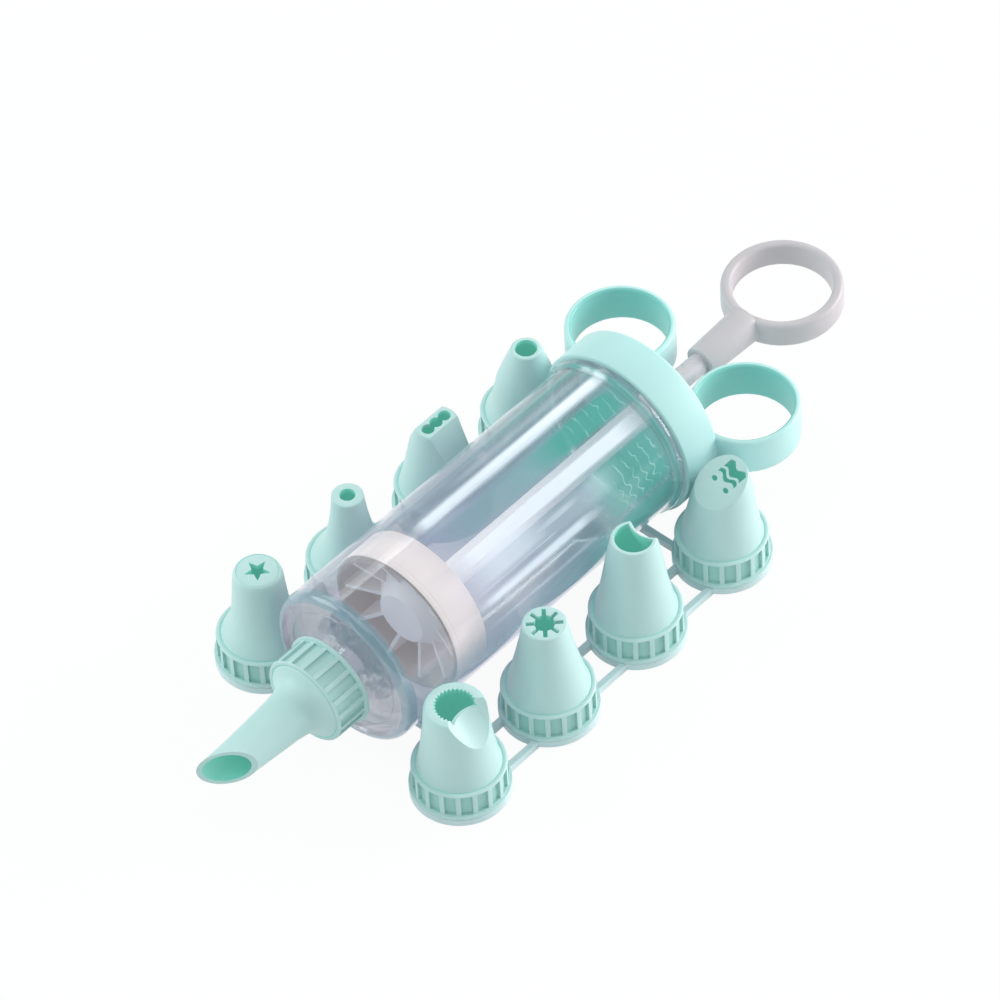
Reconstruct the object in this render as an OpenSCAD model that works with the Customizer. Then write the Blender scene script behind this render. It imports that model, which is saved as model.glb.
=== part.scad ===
// Pastry cream pump: a clear barrel with a filling nozzle, a cap with two finger rings, a plunger
// with a thumb ring, and eight piping tips on their rack. Millimetres, +Z up, +X from nozzle to thumb.

/* [Barrel] */
// Outer diameter of the clear barrel
barrel_d = 50; // [46:0.5:54]
// Wall of the barrel
barrel_wall = 2; // [1.6:0.1:2.8]
// Length from the front face to the cap's front edge
barrel_len = 115.7; // [104:0.5:126]
// Thickness of the barrel's front wall
front_wall = 2.6; // [2:0.1:3.6]
// Radius of the rounded front rim
rim_round = 2.4; // [1.2:0.1:2.8]
// Depth of the flat disc below the front rim
rim_depth = 1; // [0.4:0.1:1.2]
// How far the rear bead stands out of the barrel
bead_out = 1.1; // [0.5:0.1:1.4]
// Width of the rear bead
bead_w = 2.6; // [1.6:0.1:4]

/* [Spout] */
// Outer diameter of the spout's thread
spout_d = 20; // [18:0.2:20.6]
// Bore of the spout
spout_bore_d = 11; // [8:0.2:13]
// Length of the spout in front of the barrel
spout_len = 13.4; // [12:0.2:15]
// Height of the step that the nozzle's collar stops at
spout_step = 3.6; // [2.4:0.1:4.4]
// Pitch of the spout's thread
spout_pitch = 2.5; // [2:0.1:3]

/* [Collars of the tips and the nozzle] */
// Diameter of the thin flange at a collar's open end
flange_d = 29; // [28:0.25:31]
// Thickness of that flange
flange_t = 1; // [0.6:0.1:1.6]
// Height of a tip's collar, flange included
collar_h = 8.9; // [8.4:0.1:9.8]
// Diameter over the grip ribs
rib_d = 27.2; // [27:0.2:28]
// Depth of the panels between the ribs
panel_depth = 0.9; // [0.5:0.1:1.2]
// Number of grip ribs
rib_count = 18; // [12:1:24]
// Width of one grip rib
rib_w = 1.5; // [0.8:0.1:2]
// Diameter of a collar's threaded hollow
collar_bore_d = 21.2; // [20.9:0.1:22]

/* [Filling nozzle] */
// Height of the nozzle's own collar, flange included
nozzle_collar_h = 11; // [11:0.1:13]
// Length from the collar's open end to the middle of the slanted mouth
nozzle_len = 42.2; // [36:0.2:50]
// Outer diameter of the tube where it leaves the collar
tube_root_d = 15.6; // [13:0.2:17]
// Outer diameter of the tube at its mouth
tube_mouth_d = 11.5; // [10:0.1:12.4]
// Wall of the tube
tube_wall = 1.1; // [0.8:0.1:1.6]
// Angle between the slanted mouth and the tube's axis, in degrees
mouth_angle = 43; // [35:1:60]
// Turn of the slanted mouth about the axis, in degrees
mouth_turn = 80; // [60:1:100]

/* [Cap and finger rings] */
// How far the cap stands out of the barrel
cap_out = 2.2; // [1.7:0.1:2.3]
// Length of the cap
cap_len = 13.1; // [12:0.1:16]
// Thickness of the cap's rear wall
cap_back = 2.6; // [2:0.1:3.4]
// Outer diameter of a finger ring
finger_ring_d = 32.4; // [30:0.2:34]
// Wall of a finger ring
finger_ring_wall = 2.1; // [1.6:0.1:2.8]
// Height of a finger ring
finger_ring_h = 12.5; // [9:0.5:14]
// Gap between the plunger's neck and each finger ring
finger_ring_gap = 1.7; // [1.2:0.1:4]
// How deep a finger ring sinks into the cap's rear wall
finger_ring_sink = 1.1; // [0.8:0.1:1.8]

/* [Plunger] */
// Diameter of the plunger's rod
rod_d = 8; // [7:0.1:9]
// Diameter of the pin between the rod and the thumb ring
pin_d = 6.6; // [5.6:0.1:6.8]
// Distance from the front wall's inside to the piston's front edge
piston_back = 19.1; // [12:0.1:40]
// Width of the piston's band
piston_w = 12.3; // [10:0.1:16]
// Wall of the piston's band
sleeve_wall = 1.5; // [1.2:0.1:2.2]
// Number of ribs in the piston's hollow front
piston_ribs = 10; // [6:1:12]
// Diameter of the piston's hub
hub_d = 15; // [13:0.5:18]
// Distance from the cap's rear face to the plunger's neck
neck_gap = 22.7; // [18:0.1:40]
// Length of the neck in front of the thumb ring
neck_len = 18.9; // [15:0.1:28]
// Diameter of the neck's open end
neck_d = 10; // [9.4:0.1:11]
// Diameter of the neck where it meets the thumb ring
neck_root_d = 11.6; // [11:0.1:13]
// Outer diameter of the thumb ring
thumb_ring_d = 35.9; // [32:0.1:40]
// Wall of the thumb ring
thumb_ring_wall = 3.3; // [2.4:0.1:4]
// Height of the thumb ring
thumb_ring_h = 8.3; // [7:0.1:10]

/* [Piping tips] */
// Height of most of the piping tips
tip_h = 34; // [32:0.5:37]
// Height of the serrated tip
serrated_h = 32.4; // [31:0.2:36]
// Height of the petal tip at its horns
petal_h = 37.2; // [34:0.2:38]
// Height of the wave tip at its highest edge
wave_h = 35.4; // [33:0.2:38]
// Diameter of a tip's body where it leaves the collar
tip_foot_d = 24; // [23.6:0.2:25]
// Wall of a tip at its opening
tip_wall = 1; // [0.8:0.1:1.3]
// Diameter of the small round opening
small_hole_d = 4.6; // [2:0.1:5.4]
// Diameter of the large round opening
large_hole_d = 6.5; // [5:0.1:6.8]
// Diameter of each of the three joined round openings
triple_hole_d = 3.8; // [3.4:0.1:4]
// Number of slots in the open star tip
open_star_slots = 8; // [6:1:10]
// Number of fine teeth round the serrated opening
teeth = 30; // [16:1:36]
// Slope of the wave tip's face, in degrees
wave_slope = 31; // [20:1:40]

/* [Rack] */
// Thickness of the rack
rack_t = 2.5; // [2.4:0.1:4]
// Gap between neighbouring tips
tip_gap = 8; // [5:0.5:14]
// Gap between the tips' ribs and the widest part beside them
row_gap = 1.8; // [0.6:0.1:6]
// Width of the rack's bars
bar_w = 1.8; // [1.2:0.1:3]
// Distance of each long bar from its row's middle
bar_offset = 6.4; // [4:0.1:9]
// Height of the peg under each tip
peg_h = 3; // [2:0.1:3.2]
// Distance from the cap to the rear crossbar
rear_bar_gap = 5.2; // [4:0.1:12]
// Distance from the barrel's front face to the front crossbar
front_bar_back = 15.5; // [8:0.1:24]
// Distance of the last tips' middle behind the cap's front edge
last_tip_back = 1.8; // [0:0.1:4]

/* [Hidden] */

// Smoothness of round shapes
$fn = 96;
// Overlap that joins shapes of one piece, and the overshoot of a cut
lap = 0.5;
// Gap of a piece that slides or turns in its seat
run_gap = 0.05;
// Gap between pieces that pass each other without guiding
free_gap = 0.3;
// Gap between a thread's crests and the smooth bore round them
thread_gap = 0.4;
// Thickness of the two soft washers
washer_t = 1;
// Height of the thread crests
crest = 0.6;

barrel_r = barrel_d / 2;
bore_r = barrel_r - barrel_wall;
cap_r = barrel_r + cap_out;
rod_r = rod_d / 2;
pin_r = pin_d / 2;
axis_z = rack_t + barrel_r;

// Places along the pump, measured from the barrel's front face
cavity_start = front_wall + rim_depth;
cap_start = barrel_len;
cap_end = barrel_len + cap_len;
cap_floor = cap_end - cap_back;
barrel_end = cap_floor - washer_t;
bead_end = cap_start - free_gap;
neck_start = cap_end + neck_gap;
thumb_ring_r = thumb_ring_d / 2;
thumb_x = neck_start + neck_len + thumb_ring_r - lap;
piston_start = cavity_start + piston_back;
piston_end = piston_start + piston_w;

// The barrel's rear neck, with thread crests, fits inside the cap
neck_thread_r = bore_r + barrel_wall * 0.75;
neck_core_r = neck_thread_r - crest;
cap_bore_r = neck_thread_r + thread_gap;
cap_pitch = 3;

// The nozzle's collar stops at the spout's step
spout_r = spout_d / 2;
collar_bore_r = collar_bore_d / 2;
flange_r = flange_d / 2;
rib_r = rib_d / 2;
panel_r = rib_r - panel_depth;
collar_open = spout_step + free_gap;
nozzle_hollow = spout_len - collar_open + washer_t;
tip_hollow = collar_h - 0.5;

// The slanted mouth
tube_r = tube_mouth_d / 2;
mouth_reach = tube_r / tan(mouth_angle);
nozzle_tip = collar_open + nozzle_len + mouth_reach;

// The finger rings
finger_ring_r = finger_ring_d / 2;
finger_x = cap_end - finger_ring_sink + finger_ring_r;
finger_y = finger_ring_r + neck_root_d / 2 + finger_ring_gap;

// The rows of tips stand beside the pump
rib_top_z = rack_t + collar_h;
cap_half_width = sqrt(max(0, pow(cap_r, 2) - pow(axis_z - rib_top_z, 2)));
row_y = cap_half_width + rib_r + row_gap;
tip_pitch = flange_d + tip_gap;
tip_foot_r = tip_foot_d / 2;
peg_r = collar_bore_r - 2;

// The row's middle on X lies at the middle of the whole object
pump_back = thumb_x + thumb_ring_r;
nose_x = (nozzle_tip - pump_back) / 2;
function tip_x(i) = nose_x + cap_start + last_tip_back - (3 - i) * tip_pitch;
front_bar_x = nose_x + front_bar_back;
rear_bar_x = nose_x + cap_start - rear_bar_gap;

// Points of an arc round a centre, from one angle to another
function arc(cx, cy, r, from, to, steps = 8) =
    [for (i = [0 : steps]) let (a = from + (to - from) * i / steps) [cx + r * cos(a), cy + r * sin(a)]];

// Points of a smooth curve through the given ones
function curve_point(a, b, c, d, t) =
    0.5 * ((2 * b) + (c - a) * t + (2 * a - 5 * b + 4 * c - d) * t * t + (3 * b - a - 3 * c + d) * t * t * t);
function smooth(p, steps = 4) =
    concat([for (i = [0 : len(p) - 2], j = [0 : steps - 1])
        curve_point(p[max(i - 1, 0)], p[i], p[i + 1], p[min(i + 2, len(p) - 1)], j / steps)], [p[len(p) - 1]]);

// Puts shapes drawn round Z, from the barrel's front face up, along the pump's axis
module along_pump() {
    translate([nose_x, 0, axis_z])
        rotate([0, 90, 0])
            children();
}

// A ring with rounded edges, lying flat round the origin
module round_ring(outer_r, wall, height, edge) {
    inner_r = outer_r - wall;
    rotate_extrude()
        polygon(concat(
            arc(outer_r - edge, height / 2 - edge, edge, 0, 90, 4),
            arc(inner_r + edge, height / 2 - edge, edge, 90, 180, 4),
            arc(inner_r + edge, edge - height / 2, edge, 180, 270, 4),
            arc(outer_r - edge, edge - height / 2, edge, 270, 360, 4)));
}

// The grip ribs of a collar that stands on the origin
module grip_ribs(h) {
    for (i = [0 : rib_count - 1])
        rotate(i * 360 / rib_count)
            translate([panel_r - lap, -rib_w / 2, flange_t - lap / 2])
                cube([rib_r - panel_r + lap, rib_w, h - 0.5 - flange_t + lap / 2]);
}

// The outside of a tip or nozzle: flange, ribbed collar, shoulder, then the outline above the collar
module collared_shape(outline, h) {
    rotate_extrude()
        polygon(concat(
            [[0, 0], [flange_r - 0.3, 0], [flange_r, 0.3], [flange_r, flange_t], [panel_r, flange_t],
             [panel_r, h - 1], [rib_r - 0.3, h - 0.7], [rib_r - 0.4, h - 0.3], [rib_r - 0.7, h]],
            outline,
            [[0, outline[len(outline) - 1][1]]]));
    grip_ribs(h);
}

// The threaded hollow of a collar, with crests that leave room for the spout
module collar_hollow_shape(depth) {
    translate([0, 0, -lap])
        cylinder(r = collar_bore_r, h = depth + lap);
}

module tip_rack() {
    color("#bfe8e2") {
        for (side = [-1, 1], i = [0 : 3])
            translate([tip_x(i), side * row_y, 0]) {
                cylinder(r = flange_r, h = rack_t);
                cylinder(r = peg_r, h = rack_t + peg_h);
            }
        for (side = [-1, 1], edge = [-1, 1])
            long_bar(side * row_y + edge * bar_offset);
        for (x = [front_bar_x, rear_bar_x])
            translate([x - bar_w / 2, bar_offset - row_y, 0])
                cube([bar_w, 2 * (row_y - bar_offset), rack_t]);
    }
}

// One long bar of the rack, under its row of tips and past both crossbars
module long_bar(y) {
    start = min(tip_x(0), front_bar_x - bar_w / 2);
    end = max(tip_x(3), rear_bar_x + bar_w / 2);
    translate([start, y - bar_w / 2, 0])
        cube([end - start, bar_w, rack_t]);
}

module barrel() {
    color("#c3cfdb", 0.45)
        along_pump()
            difference() {
                barrel_outside();
                barrel_inside();
            }
}

module barrel_outside() {
    step_r = spout_r + 1.6;
    disc_r = barrel_r - rim_round - 0.9;
    rotate_extrude()
        polygon(concat(
            [[0, -spout_len], [spout_r - crest - 0.6, -spout_len], [spout_r - crest, 0.6 - spout_len],
             [spout_r - crest, -spout_step], [step_r, -spout_step], [step_r, rim_depth],
             [disc_r, rim_depth], [disc_r + 0.4, 0.3]],
            arc(barrel_r - rim_round, rim_round, rim_round, -90, 0),
            [[barrel_r, bead_end - bead_w - bead_out], [barrel_r + bead_out, bead_end - bead_w],
             [barrel_r + bead_out, bead_end - 0.3], [barrel_r + bead_out - 0.3, bead_end],
             [neck_core_r, bead_end], [neck_core_r, barrel_end], [0, barrel_end]]));
    for (i = [0 : floor((spout_len - spout_step - 2.4) / spout_pitch)])
        thread_crest(spout_r, 1.4 + i * spout_pitch - spout_len);
    for (z = [cap_start + 2 : cap_pitch : barrel_end - 1.5])
        thread_crest(neck_thread_r, z);
}

// One crest of an outside thread, as a ring
module thread_crest(r, z) {
    translate([0, 0, z])
        rotate_extrude()
            polygon([[r - crest - lap, -0.9], [r - crest, -0.7], [r, -0.2], [r, 0.2], [r - crest, 0.7],
                     [r - crest - lap, 0.9]]);
}

module barrel_inside() {
    corner = 1.5;
    rotate_extrude()
        polygon(concat(
            [[0, -spout_len - lap], [spout_bore_d / 2, -spout_len - lap], [spout_bore_d / 2, cavity_start]],
            arc(bore_r - corner, cavity_start + corner, corner, -90, 0),
            [[bore_r, barrel_end + lap], [0, barrel_end + lap]]));
}

module spout_washer() {
    color("#e9eceb")
        along_pump()
            translate([0, 0, -spout_len - washer_t])
                difference() {
                    cylinder(r = spout_r - crest, h = washer_t);
                    translate([0, 0, -lap])
                        cylinder(d = spout_bore_d + 1, h = washer_t + 2 * lap);
                }
}

module filling_nozzle() {
    color("#bfe8e2")
        along_pump()
            translate([0, 0, -collar_open])
                mirror([0, 0, 1])
                    difference() {
                        collared_shape(nozzle_outline(), nozzle_collar_h);
                        collar_hollow_shape(nozzle_hollow);
                        nozzle_passage();
                        slanted_mouth();
                    }
}

function nozzle_outline() = let (h = nozzle_collar_h, root = tube_root_d / 2) concat(
    smooth([[rib_r - 1.6, h + 0.5], [root + 2.2, h + 2.2], [root + 0.3, h + 3.4], [root - 0.7, h + 5.8]]),
    [[tube_r + 0.2, nozzle_len - mouth_reach], [tube_r, nozzle_len],
     [tube_r, nozzle_len + mouth_reach + lap]]);

module nozzle_passage() {
    root_r = tube_root_d / 2 - 0.7 - tube_wall;
    rotate_extrude()
        polygon([[0, nozzle_hollow - lap], [root_r, nozzle_hollow - lap], [root_r, nozzle_collar_h + 5.8],
                 [tube_r + 0.2 - tube_wall, nozzle_len - mouth_reach], [tube_r - tube_wall, nozzle_len],
                 [tube_r - tube_wall, nozzle_len + 2 * mouth_reach], [0, nozzle_len + 2 * mouth_reach]]);
}

// Cuts the tube's end at a slant
module slanted_mouth() {
    size = 4 * tube_mouth_d;
    translate([0, 0, nozzle_len])
        rotate([0, 0, mouth_turn])
            rotate([0, mouth_angle - 90, 0])
                translate([-size / 2, -size / 2, 0])
                    cube(size);
}

module cap_washer() {
    color("#e9eceb")
        along_pump()
            translate([0, 0, barrel_end])
                difference() {
                    cylinder(r = neck_core_r, h = washer_t);
                    translate([0, 0, -lap])
                        cylinder(r = bore_r + 0.2, h = washer_t + 2 * lap);
                }
}

module screw_cap() {
    color("#b4e6df")
        along_pump()
            difference() {
                union() {
                    cap_shell();
                    for (side = [-1, 1])
                        finger_ring(side);
                }
                translate([0, 0, cap_start - lap])
                    cylinder(r = cap_bore_r, h = cap_floor - cap_start + lap);
                translate([0, 0, cap_floor - lap])
                    cylinder(r = rod_r + free_gap, h = cap_back + 2 * lap);
            }
}

module cap_shell() {
    edge = 1.2;
    rotate_extrude()
        polygon(concat(
            [[0, cap_start], [cap_r - 0.4, cap_start], [cap_r, cap_start + 0.4]],
            arc(cap_r - edge, cap_end - edge, edge, 0, 90, 5),
            [[0, cap_end]]));
}

// A finger ring behind the cap, with the foot that joins it to the rear wall
module finger_ring(side) {
    foot_reach = 2.6;
    foot_half = 6.5;
    translate([0, side * finger_y, finger_x])
        rotate([0, 90, 0])
            round_ring(finger_ring_r, finger_ring_wall, finger_ring_h, 0.9);
    difference() {
        translate([-finger_ring_h / 2 + 0.6, side * finger_y - foot_half, cap_end - finger_ring_sink])
            cube([finger_ring_h - 1.2, 2 * foot_half - 2, foot_reach + finger_ring_sink]);
        translate([-finger_ring_h, side * finger_y, finger_x])
            rotate([0, 90, 0])
                cylinder(r = finger_ring_r - finger_ring_wall / 2, h = 2 * finger_ring_h);
    }
}

module piston_sleeve() {
    r = bore_r - run_gap;
    color("#ece4e2")
        along_pump()
            difference() {
                translate([0, 0, piston_start])
                    cylinder(r = r, h = piston_w);
                translate([0, 0, piston_start - lap])
                    cylinder(r = r - sleeve_wall, h = piston_w + 2 * lap);
            }
}

core_web = 2.2;
hub_front = 1.5;

module piston_core() {
    r = bore_r - run_gap - sleeve_wall - run_gap;
    hub_r = hub_d / 2;
    hub_start = piston_start + hub_front;
    web_start = piston_end - core_web;
    rib_t = 1.2;
    color("#b9b4b6")
        along_pump()
            difference() {
                union() {
                    translate([0, 0, web_start])
                        cylinder(r = r, h = core_web);
                    translate([0, 0, hub_start])
                        cylinder(r = hub_r, h = piston_end - hub_start);
                    for (i = [0 : piston_ribs - 1])
                        rotate((i + 0.5) * 360 / piston_ribs)
                            translate([0, rib_t / 2, 0])
                                rotate([90, 0, 0])
                                    linear_extrude(rib_t)
                                        polygon([[hub_r - lap, web_start + lap], [r - 0.2, web_start + lap],
                                                 [r - 0.2, piston_start + 1], [hub_r - lap, web_start - 3]]);
                }
                translate([0, 0, hub_start - lap])
                    cylinder(r = hub_r - 1.6, h = web_start - 2 - hub_start + lap);
                translate([0, 0, web_start - 2 - lap])
                    cylinder(r = screw_r + free_gap, h = piston_w);
            }
}

screw_r = 1.5;
screw_len = 12;

module piston_screw() {
    head_r = 3;
    head_h = 1.8;
    seat = piston_end - core_web - 2;
    color("#c9cccf")
        along_pump()
            difference() {
                union() {
                    translate([0, 0, seat - head_h])
                        cylinder(r = head_r, h = head_h);
                    translate([0, 0, seat - lap])
                        cylinder(r = screw_r, h = screw_len + lap);
                }
                for (a = [0, 90])
                    rotate(a)
                        translate([-1.6, -0.3, seat - head_h - lap])
                            cube([3.2, 0.6, 0.8 + lap]);
            }
}

pin_out = 12;
pin_in = 14;

module plunger_rod() {
    rod_end = neck_start - pin_out;
    color("#d5cfd4")
        along_pump()
            difference() {
                rotate_extrude()
                    polygon([[0, piston_end], [rod_r, piston_end], [rod_r, rod_end - 0.5], [rod_r - 0.5, rod_end],
                             [0, rod_end]]);
                translate([0, 0, piston_end - lap])
                    cylinder(r = screw_r, h = screw_len - core_web - 2 + 2 * lap);
                translate([0, 0, rod_end - pin_in])
                    cylinder(r = pin_r, h = pin_in + lap);
            }
}

module handle_pin() {
    rod_end = neck_start - pin_out;
    color("#a59ca4")
        along_pump()
            translate([0, 0, rod_end - pin_in])
                cylinder(r = pin_r, h = pin_in + pin_out + pin_in);
}

module thumb_ring() {
    color("#c4bdc3")
        along_pump()
            difference() {
                union() {
                    translate([0, 0, thumb_x])
                        rotate([0, 90, 0])
                            round_ring(thumb_ring_r, thumb_ring_wall, thumb_ring_h, 1.2);
                    neck_shape();
                }
                translate([0, 0, neck_start - lap])
                    cylinder(r = pin_r, h = pin_in + lap);
                translate([-thumb_ring_h, 0, thumb_x])
                    rotate([0, 90, 0])
                        cylinder(r = thumb_ring_r - thumb_ring_wall + 0.1, h = 2 * thumb_ring_h);
            }
}

// The neck swells from its open end to the ring
module neck_shape() {
    root = thumb_x - thumb_ring_r + thumb_ring_wall / 2;
    rotate_extrude()
        polygon([[0, neck_start], [neck_d / 2 - 0.5, neck_start], [neck_d / 2, neck_start + 0.5],
                 [neck_root_d / 2, root], [0, root]]);
}

// Outlines of the tips above the collar: the height as a share of the body, and the radius as a share
// of the foot's
function tip_outline(p, h) = smooth([for (q = p) [q[1] * tip_foot_r, collar_h + q[0] * (h - collar_h)]]);
star_body = [[0.03, 0.98], [0.1, 0.9], [0.28, 0.742], [0.6, 0.658], [0.88, 0.608], [0.97, 0.567], [1, 0.5]];
slim_body = [[0.03, 0.98], [0.12, 0.833], [0.32, 0.617], [0.65, 0.467], [1, 0.383]];
wide_body = [[0.03, 0.98], [0.2, 0.833], [0.5, 0.717], [0.8, 0.517], [0.93, 0.42], [1, 0.365]];
plain_body = [[0.03, 0.98], [0.1, 0.933], [0.35, 0.8], [0.7, 0.633], [1, 0.525]];
triple_body = [[0.03, 0.98], [0.1, 0.933], [0.35, 0.817], [0.7, 0.667], [1, 0.542]];
broad_body = [[0.03, 0.98], [0.1, 0.95], [0.35, 0.867], [0.7, 0.783], [0.93, 0.742], [1, 0.692]];
petal_body = [[0.03, 0.98], [0.1, 0.933], [0.35, 0.808], [0.7, 0.675], [0.9, 0.592], [1, 0.545]];
wave_body = [[0.03, 0.98], [0.1, 0.942], [0.35, 0.838], [0.7, 0.708], [1, 0.5]];

// Lets a cut grow by a wall's thickness
module grown(wall) {
    $grow = wall;
    children();
}

// A whole tip on its peg: the outside, less the threaded hollow, the opening (first child), and a
// scoop (second child) that the passage inside keeps its wall from
module tip(i, side, outline, h = tip_h, roof = 1.6) {
    points = tip_outline(outline, h);
    translate([tip_x(i), side * row_y, rack_t])
        difference() {
            collared_shape(points, collar_h);
            collar_hollow_shape(tip_hollow);
            difference() {
                tip_passage(points, h, roof);
                if ($children > 1)
                    grown(tip_wall)
                        children(1);
            }
            children(0);
            if ($children > 1)
                grown(0)
                    children(1);
        }
}

module tip_passage(points, h, roof) {
    last = len(points) - 1;
    rotate_extrude()
        polygon(concat([[0, tip_hollow - lap], [collar_bore_r - 1, tip_hollow - lap]],
            [for (p = points) if (p[1] > collar_h + 1.5 && p[1] < h - roof - 0.5)
                [min(p[0] - tip_wall - 0.3, collar_bore_r - 1), p[1]]],
            [[points[last][0] - tip_wall, h - roof], [0, h - roof]]));
}

// An opening cut straight down through a tip's roof
module opening(h = tip_h, depth = 2.1) {
    translate([0, 0, h - depth])
        linear_extrude(depth + lap)
            children();
}

module star_tip() {
    point_r = 0.325 * tip_foot_r;
    notch_r = 0.142 * tip_foot_r;
    color("#bfe8e2")
        tip(0, 1, star_body)
            opening()
                polygon([for (i = [0 : 9]) let (r = i % 2 == 0 ? point_r : notch_r, a = i * 36 + 45)
                    [-r * cos(a), -r * sin(a)]]);
}

module small_round_tip() {
    color("#bfe8e2")
        tip(1, 1, slim_body)
            opening()
                circle(d = small_hole_d);
}

module triple_tip() {
    color("#bfe8e2")
        tip(2, 1, triple_body) {
            opening()
                for (x = [-1, 0, 1])
                    translate([x * 0.89 * triple_hole_d, 0])
                        circle(d = triple_hole_d);
            for (side = [-1, 1])
                translate([0, side * (triple_hole_d / 2 + tip_wall - $grow), tip_h])
                    rotate([side * 26, 0, 0])
                        translate([-tip_foot_r, side > 0 ? 0 : -tip_foot_r, 11 - tip_h])
                            cube([2 * tip_foot_r, tip_foot_r, tip_h]);
        }
}

module large_round_tip() {
    color("#bfe8e2")
        tip(3, 1, wide_body)
            opening()
                circle(d = large_hole_d);
}

// The fine-toothed round opening, with a scoop that pushes the wall inwards on one side
module serrated_tip() {
    tooth_r = 0.508 * tip_foot_r;
    tooth_depth = 0.058 * tip_foot_r;
    scoop_r = 0.592 * tip_foot_r;
    scoop_y = 0.875 * tip_foot_r;
    color("#bfe8e2")
        tip(0, -1, broad_body, serrated_h) {
            opening(serrated_h)
                difference() {
                    polygon([for (i = [0 : 2 * teeth - 1])
                        let (r = i % 2 == 0 ? tooth_r : tooth_r - tooth_depth, a = i * 180 / teeth)
                        [r * cos(a), r * sin(a)]]);
                    translate([0, -scoop_y])
                        circle(r = scoop_r + tip_wall);
                }
            translate([0, -scoop_y, serrated_h])
                rotate([-29, 0, 0])
                    cylinder(r = scoop_r + $grow, h = 1.6 * serrated_h, center = true);
        }
}

module open_star_tip() {
    slot_w = 0.098 * tip_foot_r;
    slot_reach = 0.43 * tip_foot_r;
    color("#bfe8e2")
        tip(1, -1, plain_body)
            opening(depth = 4) {
                circle(r = slot_reach - 2 * slot_w);
                for (i = [0 : open_star_slots - 1])
                    rotate(i * 360 / open_star_slots)
                        translate([slot_reach - 3 * slot_w, -slot_w / 2])
                            square([3 * slot_w, slot_w]);
            }
}

// The crescent opening, with a flute behind it that leaves two horns
module petal_tip() {
    flute_r = 0.625 * tip_foot_r;
    flute_x = 0.85 * tip_foot_r;
    crescent_r = 0.44 * tip_foot_r;
    color("#bfe8e2")
        tip(2, -1, petal_body, petal_h) {
            opening(petal_h)
                difference() {
                    circle(r = crescent_r);
                    translate([flute_x, 0])
                        circle(r = flute_r + tip_wall);
                }
            translate([flute_x, 0, petal_h])
                rotate([0, -23, 0])
                    cylinder(r = flute_r + $grow, h = 1.3 * petal_h, center = true);
        }
}

// The sloping face, with a wide wavy slot, a narrow one and two small holes
module wave_tip() {
    edge_x = 0.5 * tip_foot_r;
    hole_x = -0.2 * tip_foot_r;
    color("#bfe8e2")
        tip(3, -1, wave_body, wave_h) {
            on_wave_face(edge_x)
                rotate(-15)
                    translate([0, 0, -3])
                        linear_extrude(4) {
                            wave_slot(0.24 * tip_foot_r, 0.19 * tip_foot_r, 0.275 * tip_foot_r);
                            wave_slot(0.02 * tip_foot_r, 0.1 * tip_foot_r, 0.29 * tip_foot_r);
                            for (side = [-1, 1])
                                translate([hole_x, side * 0.22 * tip_foot_r])
                                    circle(d = 0.115 * tip_foot_r, $fn = 24);
                        }
            on_wave_face(edge_x)
                translate([-2 * tip_foot_r, -2 * tip_foot_r, -$grow])
                    cube(4 * tip_foot_r);
        }
}

// Puts shapes on the wave tip's sloping face, which rises to the full height at its edge
module on_wave_face(edge_x) {
    translate([0, 0, wave_h - edge_x * tan(wave_slope)])
        rotate([0, -wave_slope, 0])
            children();
}

// A wavy slot across the tip, made of short straight pieces
module wave_slot(x, w, half_len) {
    steps = 10;
    sway = 0.05 * tip_foot_r;
    function mid(i) = x + sway * sin(i * 540 / steps);
    function along(i) = -half_len + 2 * half_len * i / steps;
    polygon(concat([for (i = [0 : steps]) [mid(i) + w / 2, along(i)]],
                   [for (i = [steps : -1 : 0]) [mid(i) - w / 2, along(i)]]));
}

tip_rack();
barrel();
spout_washer();
filling_nozzle();
cap_washer();
screw_cap();
piston_sleeve();
piston_core();
piston_screw();
plunger_rod();
handle_pin();
thumb_ring();
star_tip();
small_round_tip();
triple_tip();
large_round_tip();
serrated_tip();
open_star_tip();
petal_tip();
wave_tip();
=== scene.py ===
"""Pastry cream pump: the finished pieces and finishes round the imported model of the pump, its tips and rack."""

import functools
import logging
import math
from dataclasses import dataclass, field
from enum import Enum
from typing import Callable, Sequence

import bmesh
import bpy
from mathutils import Matrix, Vector


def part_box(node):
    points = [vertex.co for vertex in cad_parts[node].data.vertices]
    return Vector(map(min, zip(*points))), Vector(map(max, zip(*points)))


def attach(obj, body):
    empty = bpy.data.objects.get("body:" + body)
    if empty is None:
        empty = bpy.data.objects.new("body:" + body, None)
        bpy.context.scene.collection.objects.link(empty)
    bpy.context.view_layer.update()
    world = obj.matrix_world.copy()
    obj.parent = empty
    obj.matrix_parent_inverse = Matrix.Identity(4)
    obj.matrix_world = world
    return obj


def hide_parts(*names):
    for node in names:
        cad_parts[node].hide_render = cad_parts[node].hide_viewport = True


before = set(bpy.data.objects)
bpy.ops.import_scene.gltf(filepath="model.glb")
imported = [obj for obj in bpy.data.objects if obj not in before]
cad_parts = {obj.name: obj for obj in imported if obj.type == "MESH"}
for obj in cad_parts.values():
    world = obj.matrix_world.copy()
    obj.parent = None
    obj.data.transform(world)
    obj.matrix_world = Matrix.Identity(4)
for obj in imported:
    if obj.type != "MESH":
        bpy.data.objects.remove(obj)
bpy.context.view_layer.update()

LOG = logging.getLogger("cream_pump")
MM = 0.001
# The face attribute that says where a material paints shade into recesses.
SHADE_MASK = "painted_shade"
Span = tuple[float, float]
Triple = tuple[float, float, float]
Ink = tuple[int, int, int]
Outline = Sequence[Span]
Test = Callable[[Vector, Vector], float]
Piece = bpy.types.Object
X_AXIS, Y_AXIS, Z_AXIS = Vector((1, 0, 0)), Vector((0, 1, 0)), Vector((0, 0, 1))
WELD, SEAM = 1e-7, 2e-6


def mm(value: float) -> float:
    """Millimetres in metres."""
    return value * MM


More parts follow.
